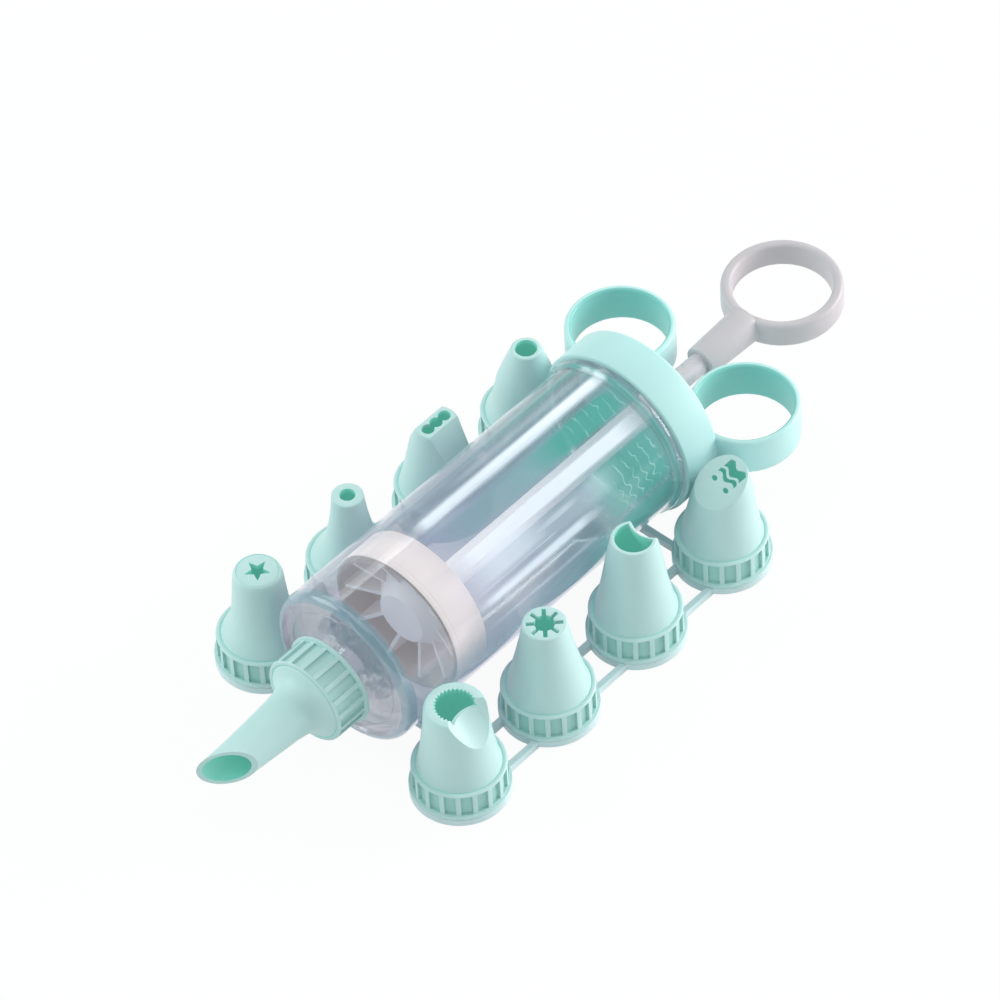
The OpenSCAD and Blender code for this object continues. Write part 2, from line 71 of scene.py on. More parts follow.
def middle(node: str) -> Vector:
    """The middle of a CAD node's box, in metres."""
    low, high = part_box(node)
    return (low + high) / 2


def smooth_line(points: Outline, steps: int = 5) -> list[Span]:
    """A smooth line through the given points.

    Args:
        points: The points that the line passes through.
        steps: How many pieces each stretch between two points gets.

    Returns:
        The line's points, ends included.
    """
    line: list[Span] = []
    last = len(points) - 1
    for i in range(last):
        a, b, c, d = (points[min(max(i + k, 0), last)] for k in (-1, 0, 1, 2))
        for j in range(steps):
            t = j / steps
            line.append(
                tuple(
                    0.5 * (2 * q + (r - p) * t + (2 * p - 5 * q + 4 * r - s) * t**2 + (3 * q - p - 3 * r + s) * t**3)
                    for p, q, r, s in zip(a, b, c, d)
                )
            )
    line.append(tuple(points[-1]))
    return line


def arc_line(centre: Span, radius: float, start: float, end: float, steps: int = 6) -> list[Span]:
    """Points of an arc of some straight pieces, from one angle to another in degrees."""
    angles = [math.radians(start + (end - start) * i / steps) for i in range(steps + 1)]
    return [(centre[0] + radius * math.cos(a), centre[1] + radius * math.sin(a)) for a in angles]


def ring_line(height: float, inner: float, outer: float, round_off: float) -> list[Span]:
    """The cross-section of an upright ring whose rims are rounded, as lengths and radii.

    Args:
        height: How far the ring reaches to either side of its middle.
        inner: Its inner radius.
        outer: Its outer radius.
        round_off: The radius of its roundings.

    Returns:
        The cross-section's points.
    """
    line: list[Span] = []
    for place, radius, start in (
        (height - round_off, inner + round_off, 270),
        (height - round_off, outer - round_off, 0),
        (round_off - height, outer - round_off, 90),
        (round_off - height, inner + round_off, 180),
    ):
        line += arc_line((place, radius), round_off, start, start + 90, 5)
    return line


@dataclass(frozen=True)
class Axis:
    """A line that a piece is turned round, with lengths along it and radii in millimetres."""

    origin: Vector
    direction: Vector
    radial: Vector

    def point(self, along: float, radius: float, angle: float = 0.0) -> Vector:
        """A point in the row frame.

        Args:
            along: Distance along the axis.
            radius: Distance from the axis.
            angle: Turn about the axis, in degrees, from the radial direction.

        Returns:
            The point, in metres.
        """
        side = self.direction.cross(self.radial)
        a = math.radians(angle)
        out = self.radial * math.cos(a) + side * math.sin(a)
        return self.origin + self.direction * mm(along) + out * mm(radius)

    def measure(self, point: Vector) -> Triple:
        """A point's distance along the axis and its radius in millimetres, and its angle in degrees."""
        offset = point - self.origin
        along = offset.dot(self.direction)
        out = offset - self.direction * along
        angle = math.degrees(math.atan2(out.dot(self.direction.cross(self.radial)), out.dot(self.radial)))
        return along / MM, out.length / MM, angle

    def outward(self, point: Vector) -> Vector:
        """The direction from the axis to a point, square to the axis."""
        offset = point - self.origin
        return (offset - self.direction * offset.dot(self.direction)).normalized()

    def shrink(self, factor: float) -> Triple:
        """Factors that bring points nearer to the axis and leave their places along it."""
        return tuple(1.0 if abs(d) > 0.5 else factor for d in self.direction)


class Bench:
    """The operations that shape a piece, as they are done by hand."""

    @staticmethod
    def clear_selection() -> None:
        """Leaves edit mode and deselects every object."""
        if bpy.context.object and bpy.context.object.mode != "OBJECT":
            bpy.ops.object.mode_set(mode="OBJECT")
        bpy.ops.object.select_all(action="DESELECT")

    @staticmethod
    def pick(piece: Piece) -> None:
        """Makes a piece the only one selected, and active."""
        Bench.clear_selection()
        piece.select_set(True)
        bpy.context.view_layer.objects.active = piece

    @staticmethod
    def edit(piece: Piece, mode: str = "FACE") -> None:
        """Opens a piece for editing with nothing selected.

        Args:
            piece: The piece to edit.
            mode: VERT, EDGE or FACE.
        """
        Bench.pick(piece)
        bpy.ops.object.mode_set(mode="EDIT")
        bpy.ops.mesh.select_mode(type=mode)
        bpy.ops.mesh.select_all(action="DESELECT")

    @staticmethod
    def leave() -> None:
        """Closes edit mode."""
        bpy.ops.object.mode_set(mode="OBJECT")

    @staticmethod
    def draw(name: str, points: Sequence[Vector], closed: bool) -> Piece:
        """Draws a line of vertices by extruding a single one, and stays in edit mode.

        Args:
            name: The new piece's name.
            points: The line's points, in metres.
            closed: Whether the last point joins the first.

        Returns:
            The new piece, with all of the line selected.
        """
        Bench.clear_selection()
        bpy.ops.mesh.primitive_plane_add(size=0.002, location=(0, 0, 0))
        piece = bpy.context.object
        piece.name = name
        piece.data.name = name
        bpy.ops.object.mode_set(mode="EDIT")
        bpy.ops.mesh.select_mode(type="VERT")
        bpy.ops.mesh.select_all(action="SELECT")
        bpy.ops.mesh.merge(type="CENTER")
        bpy.ops.transform.translate(value=points[0])
        route = list(points) + ([points[0]] if closed else [])
        for a, b in zip(route, route[1:]):
            bpy.ops.mesh.extrude_vertices_move(TRANSFORM_OT_translate={"value": b - a})
        bpy.ops.mesh.select_all(action="SELECT")
        if closed:
            bpy.ops.mesh.remove_doubles(threshold=WELD)
        return piece

    @staticmethod
    def turn(name: str, axis: Axis, outline: Outline, steps: int = 180, closed: bool = True) -> Piece:
        """Turns an outline round an axis, as on a lathe.

        Args:
            name: The new piece's name.
            axis: The axis, with the outline's lengths along it and radii from it.
            outline: Pairs of a length along the axis and a radius, in millimetres.
            steps: How many faces go round.
            closed: Whether the outline's last point joins its first.

        Returns:
            The turned piece, out of edit mode.
        """
        piece = Bench.draw(name, [axis.point(a, r) for a, r in outline], closed)
        bpy.ops.mesh.spin(steps=steps, angle=math.tau, center=axis.origin, axis=axis.direction)
        bpy.ops.mesh.select_all(action="SELECT")
        bpy.ops.mesh.remove_doubles(threshold=SEAM)
        bpy.ops.mesh.normals_make_consistent(inside=False)
        Bench.leave()
        return piece

    @staticmethod
    def prism(name: str, points: Sequence[Vector], rise: Vector) -> Piece:
        """A flat outline, filled and extruded.

        Args:
            name: The new piece's name.
            points: The outline's corners, in metres.
            rise: The extrusion, in metres.

        Returns:
            The solid, out of edit mode.
        """
        piece = Bench.draw(name, points, True)
        bpy.ops.mesh.edge_face_add()
        bpy.ops.mesh.select_all(action="SELECT")
        bpy.ops.mesh.extrude_region_move(TRANSFORM_OT_translate={"value": rise})
        bpy.ops.mesh.select_all(action="SELECT")
        bpy.ops.mesh.normals_make_consistent(inside=False)
        Bench.leave()
        return piece

    @staticmethod
    def rod(name: str, start: Vector, end: Vector, radius: float, sides: int = 64) -> Piece:
        """A plain round cutter between two points.

        Args:
            name: The new piece's name.
            start: One end, in metres.
            end: The other end, in metres.
            radius: Its radius in millimetres.
            sides: How many faces go round.

        Returns:
            The cutter, with its place in its mesh.
        """
        Bench.clear_selection()
        run = end - start
        turn = run.to_track_quat("Z", "Y").to_euler()
        bpy.ops.mesh.primitive_cylinder_add(
            vertices=sides, radius=mm(radius), depth=run.length, location=(start + end) / 2, rotation=turn
        )
        piece = bpy.context.object
        piece.name = name
        bpy.ops.object.transform_apply(location=True, rotation=True, scale=True)
        return piece

    @staticmethod
    def select_faces(piece: Piece, test: Callable[[Vector], bool]) -> None:
        """Selects the faces, of the piece that is being edited, whose middles pass a test."""
        mesh = bmesh.from_edit_mesh(piece.data)
        for face in mesh.faces:
            face.select_set(test(face.calc_center_median()))
        bmesh.update_edit_mesh(piece.data)

    @staticmethod
    def move_points(piece: Piece, shift: Callable[[Vector], Vector]) -> None:
        """Moves every point of a piece by what a function gives for its place."""
        mesh = bmesh.new()
        mesh.from_mesh(piece.data)
        for vertex in mesh.verts:
            vertex.co += shift(vertex.co.copy())
        mesh.to_mesh(piece.data)
        mesh.free()
        piece.data.update()

    @staticmethod
    def combine(piece: Piece, other: Piece, how: str = "DIFFERENCE") -> Piece:
        """Cuts another solid out of a piece, or joins it to it, and removes the other.

        Args:
            piece: The piece that stays.
            other: The solid that is used up.
            how: DIFFERENCE, UNION or INTERSECT.

        Returns:
            The piece.
        """
        Bench.pick(piece)
        step = piece.modifiers.new(how.lower(), "BOOLEAN")
        step.operation = how
        step.object = other
        step.solver = "EXACT"
        bpy.ops.object.modifier_apply(modifier=step.name)
        bpy.data.objects.remove(other)
        return piece

    @staticmethod
    def soften(piece: Piece, width: float, angle: float = 35.0, rounds: int = 2) -> None:
        """Rounds the sharp edges of a piece.

        Args:
            piece: The piece.
            width: The rounding's width in millimetres.
            angle: Edges sharper than this many degrees are rounded.
            rounds: How many faces the rounding has.
        """
        Bench.pick(piece)
        step = piece.modifiers.new("soft_edges", "BEVEL")
        step.width = mm(width)
        step.segments = rounds
        step.limit_method = "ANGLE"
        step.angle_limit = math.radians(angle)
        step.miter_outer = "MITER_ARC"
        bpy.ops.object.modifier_apply(modifier=step.name)

    @staticmethod
    def polish(piece: Piece, angle: float = 38.0) -> None:
        """Shades a piece smooth, apart from edges sharper than an angle in degrees."""
        Bench.pick(piece)
        bpy.ops.object.shade_smooth_by_angle(angle=math.radians(angle))

    @staticmethod
    def mark(piece: Piece, value: Test) -> None:
        """Writes on every face how deep it lies, which its material reads to paint shade there, from its middle and its
        normal.
        """
        layer = piece.data.attributes.new(SHADE_MASK, "FLOAT", "FACE")
        for face in piece.data.polygons:
            layer.data[face.index].value = value(face.center, face.normal)

    @staticmethod
    def copy(piece: Piece, move: Matrix) -> Piece:
        """A copy of a piece with its own mesh, moved or turned."""
        twin = piece.copy()
        twin.data = piece.data.copy()
        twin.data.transform(move)
        bpy.context.scene.collection.objects.link(twin)
        return twin


class Wire:
    """A shader value that takes part in Python arithmetic."""

    def __init__(self, desk: "NodeDesk", socket: bpy.types.NodeSocket) -> None:
        """Keeps the socket and the desk that its nodes are made on."""
        self.desk = desk
        self.socket = socket

    def __add__(self, other: "Wire | float") -> "Wire":
        """This value plus another."""
        return self.desk.sum("ADD", self, other)

    __radd__ = __add__

    def __mul__(self, other: "Wire | float") -> "Wire":
        """This value times another."""
        return self.desk.sum("MULTIPLY", self, other)

    __rmul__ = __mul__

    def __sub__(self, other: "Wire | float") -> "Wire":
        """This value less another."""
        return self.desk.sum("SUBTRACT", self, other)

    def __rsub__(self, other: float) -> "Wire":
        """A number less this value."""
        return self.desk.sum("SUBTRACT", other, self)

    def __pow__(self, other: float) -> "Wire":
        """This value raised to a power."""
        return self.desk.sum("POWER", self, other)

    def sine(self) -> "Wire":
        """The sine of this value."""
        return self.desk.sum("SINE", self)

    def high(self, other: "Wire | float") -> "Wire":
        """The larger of this value and another."""
        return self.desk.sum("MAXIMUM", self, other)

    def low(self, other: "Wire | float") -> "Wire":
        """The smaller of this value and another."""
        return self.desk.sum("MINIMUM", self, other)

    def window(self, start: float, end: float, soft: float) -> "Wire":
        """1 between two values and 0 outside them, with edges of the given width."""
        half = soft / 2
        return self.spread(start - half, start + half) * (1.0 - self.spread(end - half, end + half))

    def spread(self, start: float, end: float, low: float = 0.0, high: float = 1.0) -> "Wire":
        """This value moved smoothly from the range of start to end into that of low to high, and kept inside it."""
        values = {"Value": self, "From Min": start, "From Max": end, "To Min": low, "To Max": high}
        return self.desk.node("ShaderNodeMapRange", values, interpolation_type="SMOOTHSTEP", clamp=True)


class NodeDesk:
    """The place where the nodes of one material, or of the surroundings, are made."""

    def __init__(self, owner: "bpy.types.Material | bpy.types.World") -> None:
        """Clears the owner's nodes."""
        self.owner = owner
        owner.use_nodes = True
        self.tree = owner.node_tree
        self.tree.nodes.clear()

    @classmethod
    def material(cls, name: str) -> "NodeDesk":
        """The desk of a new material."""
        return cls(bpy.data.materials.new(name))

    def node(self, kind: str, values: dict | None = None, out: str | int = 0, **settings: object) -> Wire:
        """Makes a node.

        Args:
            kind: The node's type.
            values: What goes to its sockets, by name or number: wires or plain values.
            out: The output that is wanted, by name or number.
            **settings: The node's own settings.

        Returns:
            The output.
        """
        node = self.tree.nodes.new(kind)
        for key, value in settings.items():
            setattr(node, key, value)
        for key, value in (values or {}).items():
            if isinstance(value, Wire):
                self.tree.links.new(value.socket, node.inputs[key])
            else:
                node.inputs[key].default_value = value
        return Wire(self, node.outputs[out])

    def sum(self, operation: str, *terms: Wire | float) -> Wire:
        """A Math node on wires and plain numbers."""
        return self.node("ShaderNodeMath", dict(enumerate(terms)), operation=operation)

    def place(self) -> Wire:
        """The place on the surface, in object coordinates."""
        return self.node("ShaderNodeTexCoord", out="Object")

    def noise(self, scale: float, detail: float = 3.0, stretch: Triple = (1, 1, 1)) -> Wire:
        """A cloudy pattern of 0 to 1 on object coordinates that are stretched first, with its scale per metre."""
        spot = self.node("ShaderNodeMapping", {"Vector": self.place(), "Scale": stretch})
        return self.node("ShaderNodeTexNoise", {"Vector": spot, "Scale": scale, "Detail": detail})

    def relief(self, height: Wire, strength: float, distance: float) -> Wire:
        """A normal that follows small heights, with the distance in metres."""
        return self.node("ShaderNodeBump", {"Strength": strength, "Distance": distance, "Height": height})

    def blend(self, share: Wire | float, a: Wire | tuple, b: Wire | tuple) -> Wire:
        """A colour between two others: the first at share 0, and the second at 1."""
        full = [(*c, 1.0) if isinstance(c, tuple) else c for c in (a, b)]
        values = {0: share, 6: full[0], 7: full[1]}
        return self.node("ShaderNodeMix", values, 2, data_type="RGBA", clamp_factor=True)

    def surface(self, values: dict) -> Wire:
        """The usual all-round shader."""
        return self.node("ShaderNodeBsdfPrincipled", values)

    def mix(self, share: Wire | float, a: Wire, b: Wire) -> Wire:
        """A shader between two others."""
        return self.node("ShaderNodeMixShader", {0: share, 1: a, 2: b})

    def finish(self, shader: Wire, kind: str = "ShaderNodeOutputMaterial") -> bpy.types.ID:
        """Joins the shader to the output and hands the owner over."""
        self.tree.links.new(shader.socket, self.tree.nodes.new(kind).inputs["Surface"])
        return self.owner


def ink(red: int, green: int, blue: int) -> Triple:
    """A colour from screen values of 0 to 255, as the linear numbers that a shader takes."""
    return tuple(
        (c / 255 / 12.92) if c <= 10 else ((c / 255 + 0.055) / 1.055) ** 2.4 for c in (red, green, blue)
    )


@dataclass(frozen=True)
class MouldedPlastic:
    """Opaque moulded plastic with a soft gloss, faintly cloudy, with painted shade where a piece marks recesses and an
    optional painted glow, over the whole piece or only in those recesses.
    """

    name: str
    colour: Ink
    deep: Ink
    gloss: float = 0.34
    # glow: strength of a painted glow over the whole piece; 0 for none.
    glow: float = 0.0
    # The colour of the painted shade in the faces that a piece marks as recesses.
    painted_shade: Ink | None = None
    # through: strength of a painted glow in the marked recesses, used when the piece has no glow of its own.
    through: float = 0.22
    cloudiness: float = 0.25
    # How much of the painted shade colour the most deeply marked faces get.
    painted_shade_share: float = 0.9
    skin_depth: float = 0.00002

    def make(self) -> bpy.types.Material:
        """Builds the material."""
        desk = NodeDesk.material(self.name)
        cloud = desk.noise(55.0, 2.0)
        flow = desk.noise(160.0, 3.0, (1, 1, 0.35))
        tone = (cloud * 0.6 + flow * 0.4).spread(0.35, 0.7)
        colour = desk.blend(tone * self.cloudiness, ink(*self.colour), ink(*self.deep))
        glow_colour: Wire | None = colour if self.glow else None
        # Painted shade: the marked recesses are coloured darker. With no glow of its own, the piece then gets a painted
        # glow in those recesses only.
        if self.painted_shade:
            mark = desk.node("ShaderNodeAttribute", out="Fac", attribute_name=SHADE_MASK)
            shade_ink = ink(*self.painted_shade)
            colour = desk.blend(mark * self.painted_shade_share, colour, shade_ink)
            glow_colour = colour if self.glow else desk.blend(mark.spread(0.6, 1.0), (0.0, 0.0, 0.0), shade_ink)
        values = {
            "Base Color": colour,
            "Roughness": desk.noise(900.0, 2.0) * 0.08 + (self.gloss - 0.04),
            "Normal": desk.relief(desk.noise(2600.0, 2.0), 0.25, self.skin_depth),
            "IOR": 1.46,
            "Coat Weight": 0.15,
            "Coat Roughness": 0.4,
        }
        # Painted glow: emission of the piece's colour at glow, or of the recesses' painted shade colour at through.
        if glow_colour:
            values |= {"Emission Color": glow_colour, "Emission Strength": self.glow or self.through}
        return desk.finish(desk.surface(values))


@dataclass(frozen=True)
class Streak:
    """A streak of painted highlight or painted shade along the barrel's wall: angles from the top towards +Y in
    degrees, lengths in millimetres.
    """

    angle: float
    half: float
    start: float
    end: float
    share: float
    soft: float = 2.0
    fade: float = 8.0


@dataclass(frozen=True)
class ClearPlastic:
    """The barrel's clear plastic, with haze, painted highlight and painted shade streaks along it, the cap's teal
    painted at its rear as a reflection, thin painted glints of thread, and a painted glow over all of it.

    Lengths are millimetres behind the barrel's front face, and radii are millimetres from its axis.
    """

    name: str
    nose_x: float
    axis_z: float
    mist: Ink = (176, 176, 204)
    # The painted reflection of the cap, which the mist turns into towards the rear.
    rear_cap_reflection: Ink = (142, 173, 183)
    # The colour of the painted highlight streaks.
    pale: Ink = (232, 238, 250)
    # The colour of the painted glints of the thread near the rear.
    arc: Ink = (178, 218, 214)
    # The colour of the painted shade bands and of the cap's painted reflection in them and in the bead.
    teal: Ink = (70, 148, 141)
    wall: Ink = (128, 138, 156)
    rim: Ink = (104, 142, 158)
    # Strength of a painted glow over the wall's colour, painted highlights and shade included.
    glow: float = 0.3
    haze: Span = (0.1, 0.14)
    under_haze: Span = (0.56, 0.28)
    shade_haze: Span = (0.45, 0.55)
    # How strongly the painted thread glints colour and cloud the wall.
    thread_glint_tint: float = 0.34
    thread_glint_haze: float = 0.08
    thickest: float = 0.92
    most_gloss: float = 0.6
    outer_face: Span = (23.6, 24.4)
    rim_face: Span = (22.2, 23.2)
    front_end: Span = (3.7, 4.6)
    rear_start: Span = (52.0, 100.0)
    bead_line: Span = (111.9, 113.2)
    piston_place: Span = (21.0, 36.5)
    underside: Span = (76.0, 112.0)
    # Painted highlights: pale streaks along the wall in place of the lamps' reflections.
    streaks: tuple[Streak, ...] = (
        Streak(6.0, 5.0, 37, 112, 0.5, 6.0),
        Streak(5.0, 9.0, 36, 52, 0.16, 8.0, 14.0),
        Streak(17.0, 4.0, 56, 113, 0.2, 7.0, 20.0),
        Streak(45.0, 4.0, 8, 112, 0.1, 5.0),
        Streak(-32.5, 5.2, 36, 108, 0.42, 3.0, 16.0),
        Streak(-50.0, 8.0, 50, 90, 0.16, 10.0, 20.0),
        Streak(-43.0, 12.0, 36, 66, 0.4, 10.0, 26.0),
        Streak(-47.0, 2.6, 36, 80, 0.3, 4.0, 14.0),
        Streak(-62.5, 3.4, 36, 80, 0.46, 5.0, 12.0),
        Streak(-55.0, 0.7, 36, 70, 0.3, 1.5, 12.0),
        Streak(-70.0, 0.8, 36, 72, 0.28, 1.5, 12.0),
        Streak(-79.0, 1.6, 36, 78, 0.22, 4.0, 14.0),
    )
    # Painted shade: darker bands along the wall, teal towards the rear as a painted reflection of the cap.
    shades: tuple[Streak, ...] = (
        Streak(-13.0, 9.0, 38, 113, 0.72, 8.0, 22.0),
        Streak(28.0, 4.0, 8, 113, 0.4, 6.0),
        Streak(-92.0, 12.0, 6, 113, 0.5, 12.0),
        Streak(-88.0, 20.0, 2, 18, 0.5, 12.0, 4.0),
        Streak(-60.0, 20.0, 84, 113, 0.55, 8.0, 12.0),
    )

    def make(self) -> bpy.types.Material:
        """Builds the material."""
        desk = NodeDesk.material(self.name)
        x, y, z = (desk.node("ShaderNodeSeparateXYZ", {0: desk.place()}, axis) for axis in "XYZ")
        up = z - self.axis_z
        run = (x - self.nose_x) * (1 / MM)
        turn = desk.sum("ARCTAN2", y, up) * (180 / math.pi)
        radius = ((y * y + up * up) ** 0.5) * (1 / MM)
        cloud = desk.noise(70.0, 4.0, (0.35, 1.0, 1.0))
        grain = desk.noise(240.0, 3.0, (0.12, 1.0, 1.0))
        wobbly = turn + (grain - 0.5) * 3.0
        outer = radius.spread(*self.outer_face)
        along = run.window(4.0, 114.0, 3.0)
        rear = (run + (cloud - 0.5) * 14.0).spread(*self.rear_start)
        below = (turn * turn).spread(self.underside[0] ** 2, self.underside[1] ** 2) * outer * along
        # Painted highlights and painted shade bands, on the outer face only.
        light = self.strokes(self.streaks, run, wobbly) * outer
        shade = self.strokes(self.shades, run, wobbly) * outer
        # Painted glints of the thread near the rear.
        arcs = self.thread_glint_share(desk, run, turn, cloud) * outer
        front = 1.0 - run.spread(*self.front_end)
        rim = radius.spread(*self.rim_face) * (1.0 - run.spread(2.0, 5.0))
        bead = run.window(*self.bead_line, 0.6)
        piston = run.window(*self.piston_place, 2.0)

        # The mist turns into the cap's painted reflection towards the rear.
        colour = desk.blend(rear, ink(*self.mist), ink(*self.rear_cap_reflection))
        # The shade bands and the bead are painted with the cap's teal, more towards the rear.
        painted_teal_share = (shade * 1.7 * rear.high(0.45)).low(1.0).high(bead * 0.8)
        for share, tint in (
            (painted_teal_share, self.teal),
            (front, self.wall),
            (rim, self.rim),
            ((light * 2.2).low(1.0), self.pale),
            (arcs * self.thread_glint_tint, self.arc),
        ):
            colour = desk.blend(share, colour, ink(*tint))

        hazes = (self.haze, self.under_haze, self.shade_haze)
        mist, lower, dim = (rear * rear_part + front_part for front_part, rear_part in hazes)
        mist = mist * along * (0.35 + outer * 0.65) * (1.0 - piston * 0.6)
        edge = desk.node("ShaderNodeLayerWeight", {"Blend": 0.3}, "Facing")
        alpha = mist + below * lower + light + shade * dim + arcs * self.thread_glint_haze + (grain - 0.5) * 0.1 * along
        alpha = alpha + front * 0.3 + rim * 0.25 + bead * 0.5 + (edge**4.0) * 0.3

        relief = desk.relief(grain, 0.1, 0.0002)
        body = desk.surface({
            "Base Color": colour,
            "Roughness": cloud * 0.06 + 0.1,
            "Alpha": alpha.low(self.thickest).high(0.0),
            "Normal": relief,
            "IOR": 1.5,
            "Emission Color": colour,
            "Emission Strength": self.glow,
        })
        gloss = desk.node("ShaderNodeBsdfAnisotropic", {"Color": (1, 1, 1, 1), "Roughness": 0.07, "Normal": relief})
        shine = desk.node("ShaderNodeFresnel", {"IOR": 1.45}) * (outer.high(front) * 0.85 + 0.15)
        return desk.finish(desk.mix(shine.low(self.most_gloss), body, gloss))

    @staticmethod
    def strokes(streaks: Sequence[Streak], run: Wire, turn: Wire) -> Wire:
        """Lays several streaks over each other, each with its own length.

        Args:
            streaks: The streaks.
            run: Distance behind the front face, in millimetres.
            turn: The angle round the axis, in degrees.

        Returns:
            How much of a streak there is, from 0 to the strongest one's share.
        """
        total: Wire | None = None
        for one in streaks:
            across = turn.window(one.angle - one.half, one.angle + one.half, one.soft)
            line = across * run.window(one.start, one.end, one.fade) * one.share
            total = line if total is None else total.high(line)
        return total

    @staticmethod
    def thread_glint_share(desk: NodeDesk, run: Wire, turn: Wire, cloud: Wire) -> Wire:
        """The thin jagged arcs near the rear, painted in place of the thread's reflection.

        Args:
            desk: The material's desk.
            run: Distance behind the front face, in millimetres.
            turn: The angle round the axis, in degrees.
            cloud: A cloudy pattern that bends them.

        Returns:
            How much of an arc there is, from 0 to 1.
        """
        teeth_pitch, arc_pitch = 9.0, 3.5
        fine = desk.noise(330.0, 2.0)
        teeth = (turn * (math.tau / teeth_pitch)).sine() * turn.spread(-70.0, -48.0, 0.8, 0.0)
        wavy = run + (cloud - 0.5) * 9.0 + (fine - 0.5) * 2.4 + teeth
        lines = (wavy * (math.tau / arc_pitch)).sine().spread(0.84, 0.99)
        sides = turn.window(-76.0, -46.0, 6.0).high(turn.window(-23.0, -4.0, 4.0) * 0.7)
        broken = desk.noise(120.0, 2.0).spread(0.34, 0.52)
        return lines * sides * run.window(92.0, 111.0, 2.0) * broken


@dataclass(frozen=True)
class SoftRubber:
    """Pale soft rubber with a dusty skin."""

    name: str
    colour: Ink
    dark_share: float = 0.86

    def make(self) -> bpy.types.Material:
        """Builds the material."""
        desk = NodeDesk.material(self.name)
        dust = desk.noise(700.0, 4.0)
        dark = ink(*(int(c * self.dark_share) for c in self.colour))
        return desk.finish(desk.surface({
            "Base Color": desk.blend(dust * 0.5, ink(*self.colour), dark),
            "Roughness": dust * 0.1 + 0.62,
            "Normal": desk.relief(dust, 0.3, 0.00004),
        }))


@dataclass(frozen=True)
class TurnedSteel:
    """Plain steel with fine turning marks."""

    name: str
    pale: Ink = (196, 199, 203)
    dark: Ink = (168, 171, 176)

    def make(self) -> bpy.types.Material:
        """Builds the material."""
        desk = NodeDesk.material(self.name)
        marks = desk.noise(3000.0, 2.0, (1.0, 0.2, 0.2))
        colour = desk.blend(marks, ink(*self.pale), ink(*self.dark))
        return desk.finish(desk.surface({"Base Color": colour, "Metallic": 1.0, "Roughness": marks * 0.15 + 0.25}))


class Finish(Enum):
    """The finishes of the pump and its tips."""

    MINT = "mint"
    MINT_CAP = "mint_cap"
    CLEAR = "clear"
    WHITE = "white"
    GREY = "grey"
    LILAC = "lilac"
    ROD = "rod"
    RACK = "rack"
    LILAC_DARK = "lilac_dark"
    WASHER = "washer"
    STEEL = "steel"


class FinishBox:
    """Makes each finish once and puts it on pieces."""

    def __init__(self) -> None:
        """Builds every material."""
        nose = pump_axis().origin
        recipes = {
            # Mint: painted teal shade in the marked recesses, with a painted glow there.
            Finish.MINT: MouldedPlastic(
                "mint_plastic", (194, 222, 222), (178, 212, 211), painted_shade=(116, 194, 180), gloss=0.46, through=0.29
            ),
            # Rack: the mint painted paler, standing in for light through its thin bars.
            Finish.RACK: MouldedPlastic("rack_plastic", (208, 226, 230), (196, 218, 222)),
            # Cap: painted shade on the finger rings' inner faces, with a faint painted glow there.
            Finish.MINT_CAP: MouldedPlastic(
                "mint_cap_plastic", (192, 229, 229), (178, 221, 220), gloss=0.4, painted_shade=(96, 188, 180), through=0.06
            ),
            Finish.CLEAR: ClearPlastic("clear_barrel_plastic", nose.x, nose.z),
            # Piston band: painted brown-grey shadow on its inner wall, and a painted glow all over.
            Finish.WHITE: MouldedPlastic(
                "piston_white_plastic", (243, 230, 231), (232, 219, 221), painted_shade=(158, 150, 145), glow=0.2
            ),
            # Piston core: painted brown-grey shadow on its hollow front and gussets, and a painted glow all over.
            Finish.GREY: MouldedPlastic(
                "piston_grey_plastic", (212, 210, 216), (196, 192, 196), gloss=0.5, painted_shade=(166, 157, 151), glow=0.26
            ),
            Finish.LILAC: MouldedPlastic("grey_lilac_plastic", (200, 190, 195), (186, 177, 182), gloss=0.45),
            # Rod: a painted glow keeps it bright inside the barrel.
            Finish.ROD: MouldedPlastic("rod_pale_plastic", (240, 234, 238), (228, 221, 225), gloss=0.42, glow=0.28),
            Finish.LILAC_DARK: MouldedPlastic("pin_lilac_plastic", (206, 196, 202), (180, 172, 178), gloss=0.28),
            Finish.WASHER: SoftRubber("washer_rubber", (226, 229, 227)),
            Finish.STEEL: TurnedSteel("screw_steel"),
        }
        self.materials = {finish: recipe.make() for finish, recipe in recipes.items()}

    def put(self, piece: Piece, finish: Finish) -> None:
        """Gives a piece one finish all over."""
        piece.data.materials.clear()
        piece.data.materials.append(self.materials[finish])

    def put_on_node(self, node: str, finish: Finish) -> None:
        """Gives a CAD node that stays in view its finish."""
        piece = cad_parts[node]
        if not piece.material_slots:
            piece.data.materials.append(self.materials[finish])
        for slot in piece.material_slots:
            slot.material = self.materials[finish]


@dataclass
class SubAssembly:
    """A group of pieces that are built and dressed together."""

    finishes: FinishBox

    def keep(self, piece: Piece, node: str, body: str, finish: Finish) -> None:
        """Dresses a finished piece and puts it in its node's place.

        Args:
            piece: The finished piece.
            node: The CAD node that it stands for.
            body: The body that it moves with.
            finish: Its finish.
        """
        self.finishes.put(piece, finish)
        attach(piece, body)
        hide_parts(node)
        LOG.info("%s: %d faces, for %s on %s", piece.name, len(piece.data.polygons), node, body)


@functools.cache
def pump_axis() -> Axis:
    """The pump's axis, from the barrel's front face towards the thumb ring."""
    nose_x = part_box("barrel")[0].x + mm(Spout.length)
    return Axis(Vector((nose_x, 0, middle("barrel").z)), X_AXIS, Z_AXIS)


@dataclass(frozen=True)
class Spout:
    """Sizes of the barrel's spout, in millimetres."""

    length: float = 13.4
    radius: float = 10.0
    bore: float = 5.5
    step: float = 3.6
    crest: float = 0.6


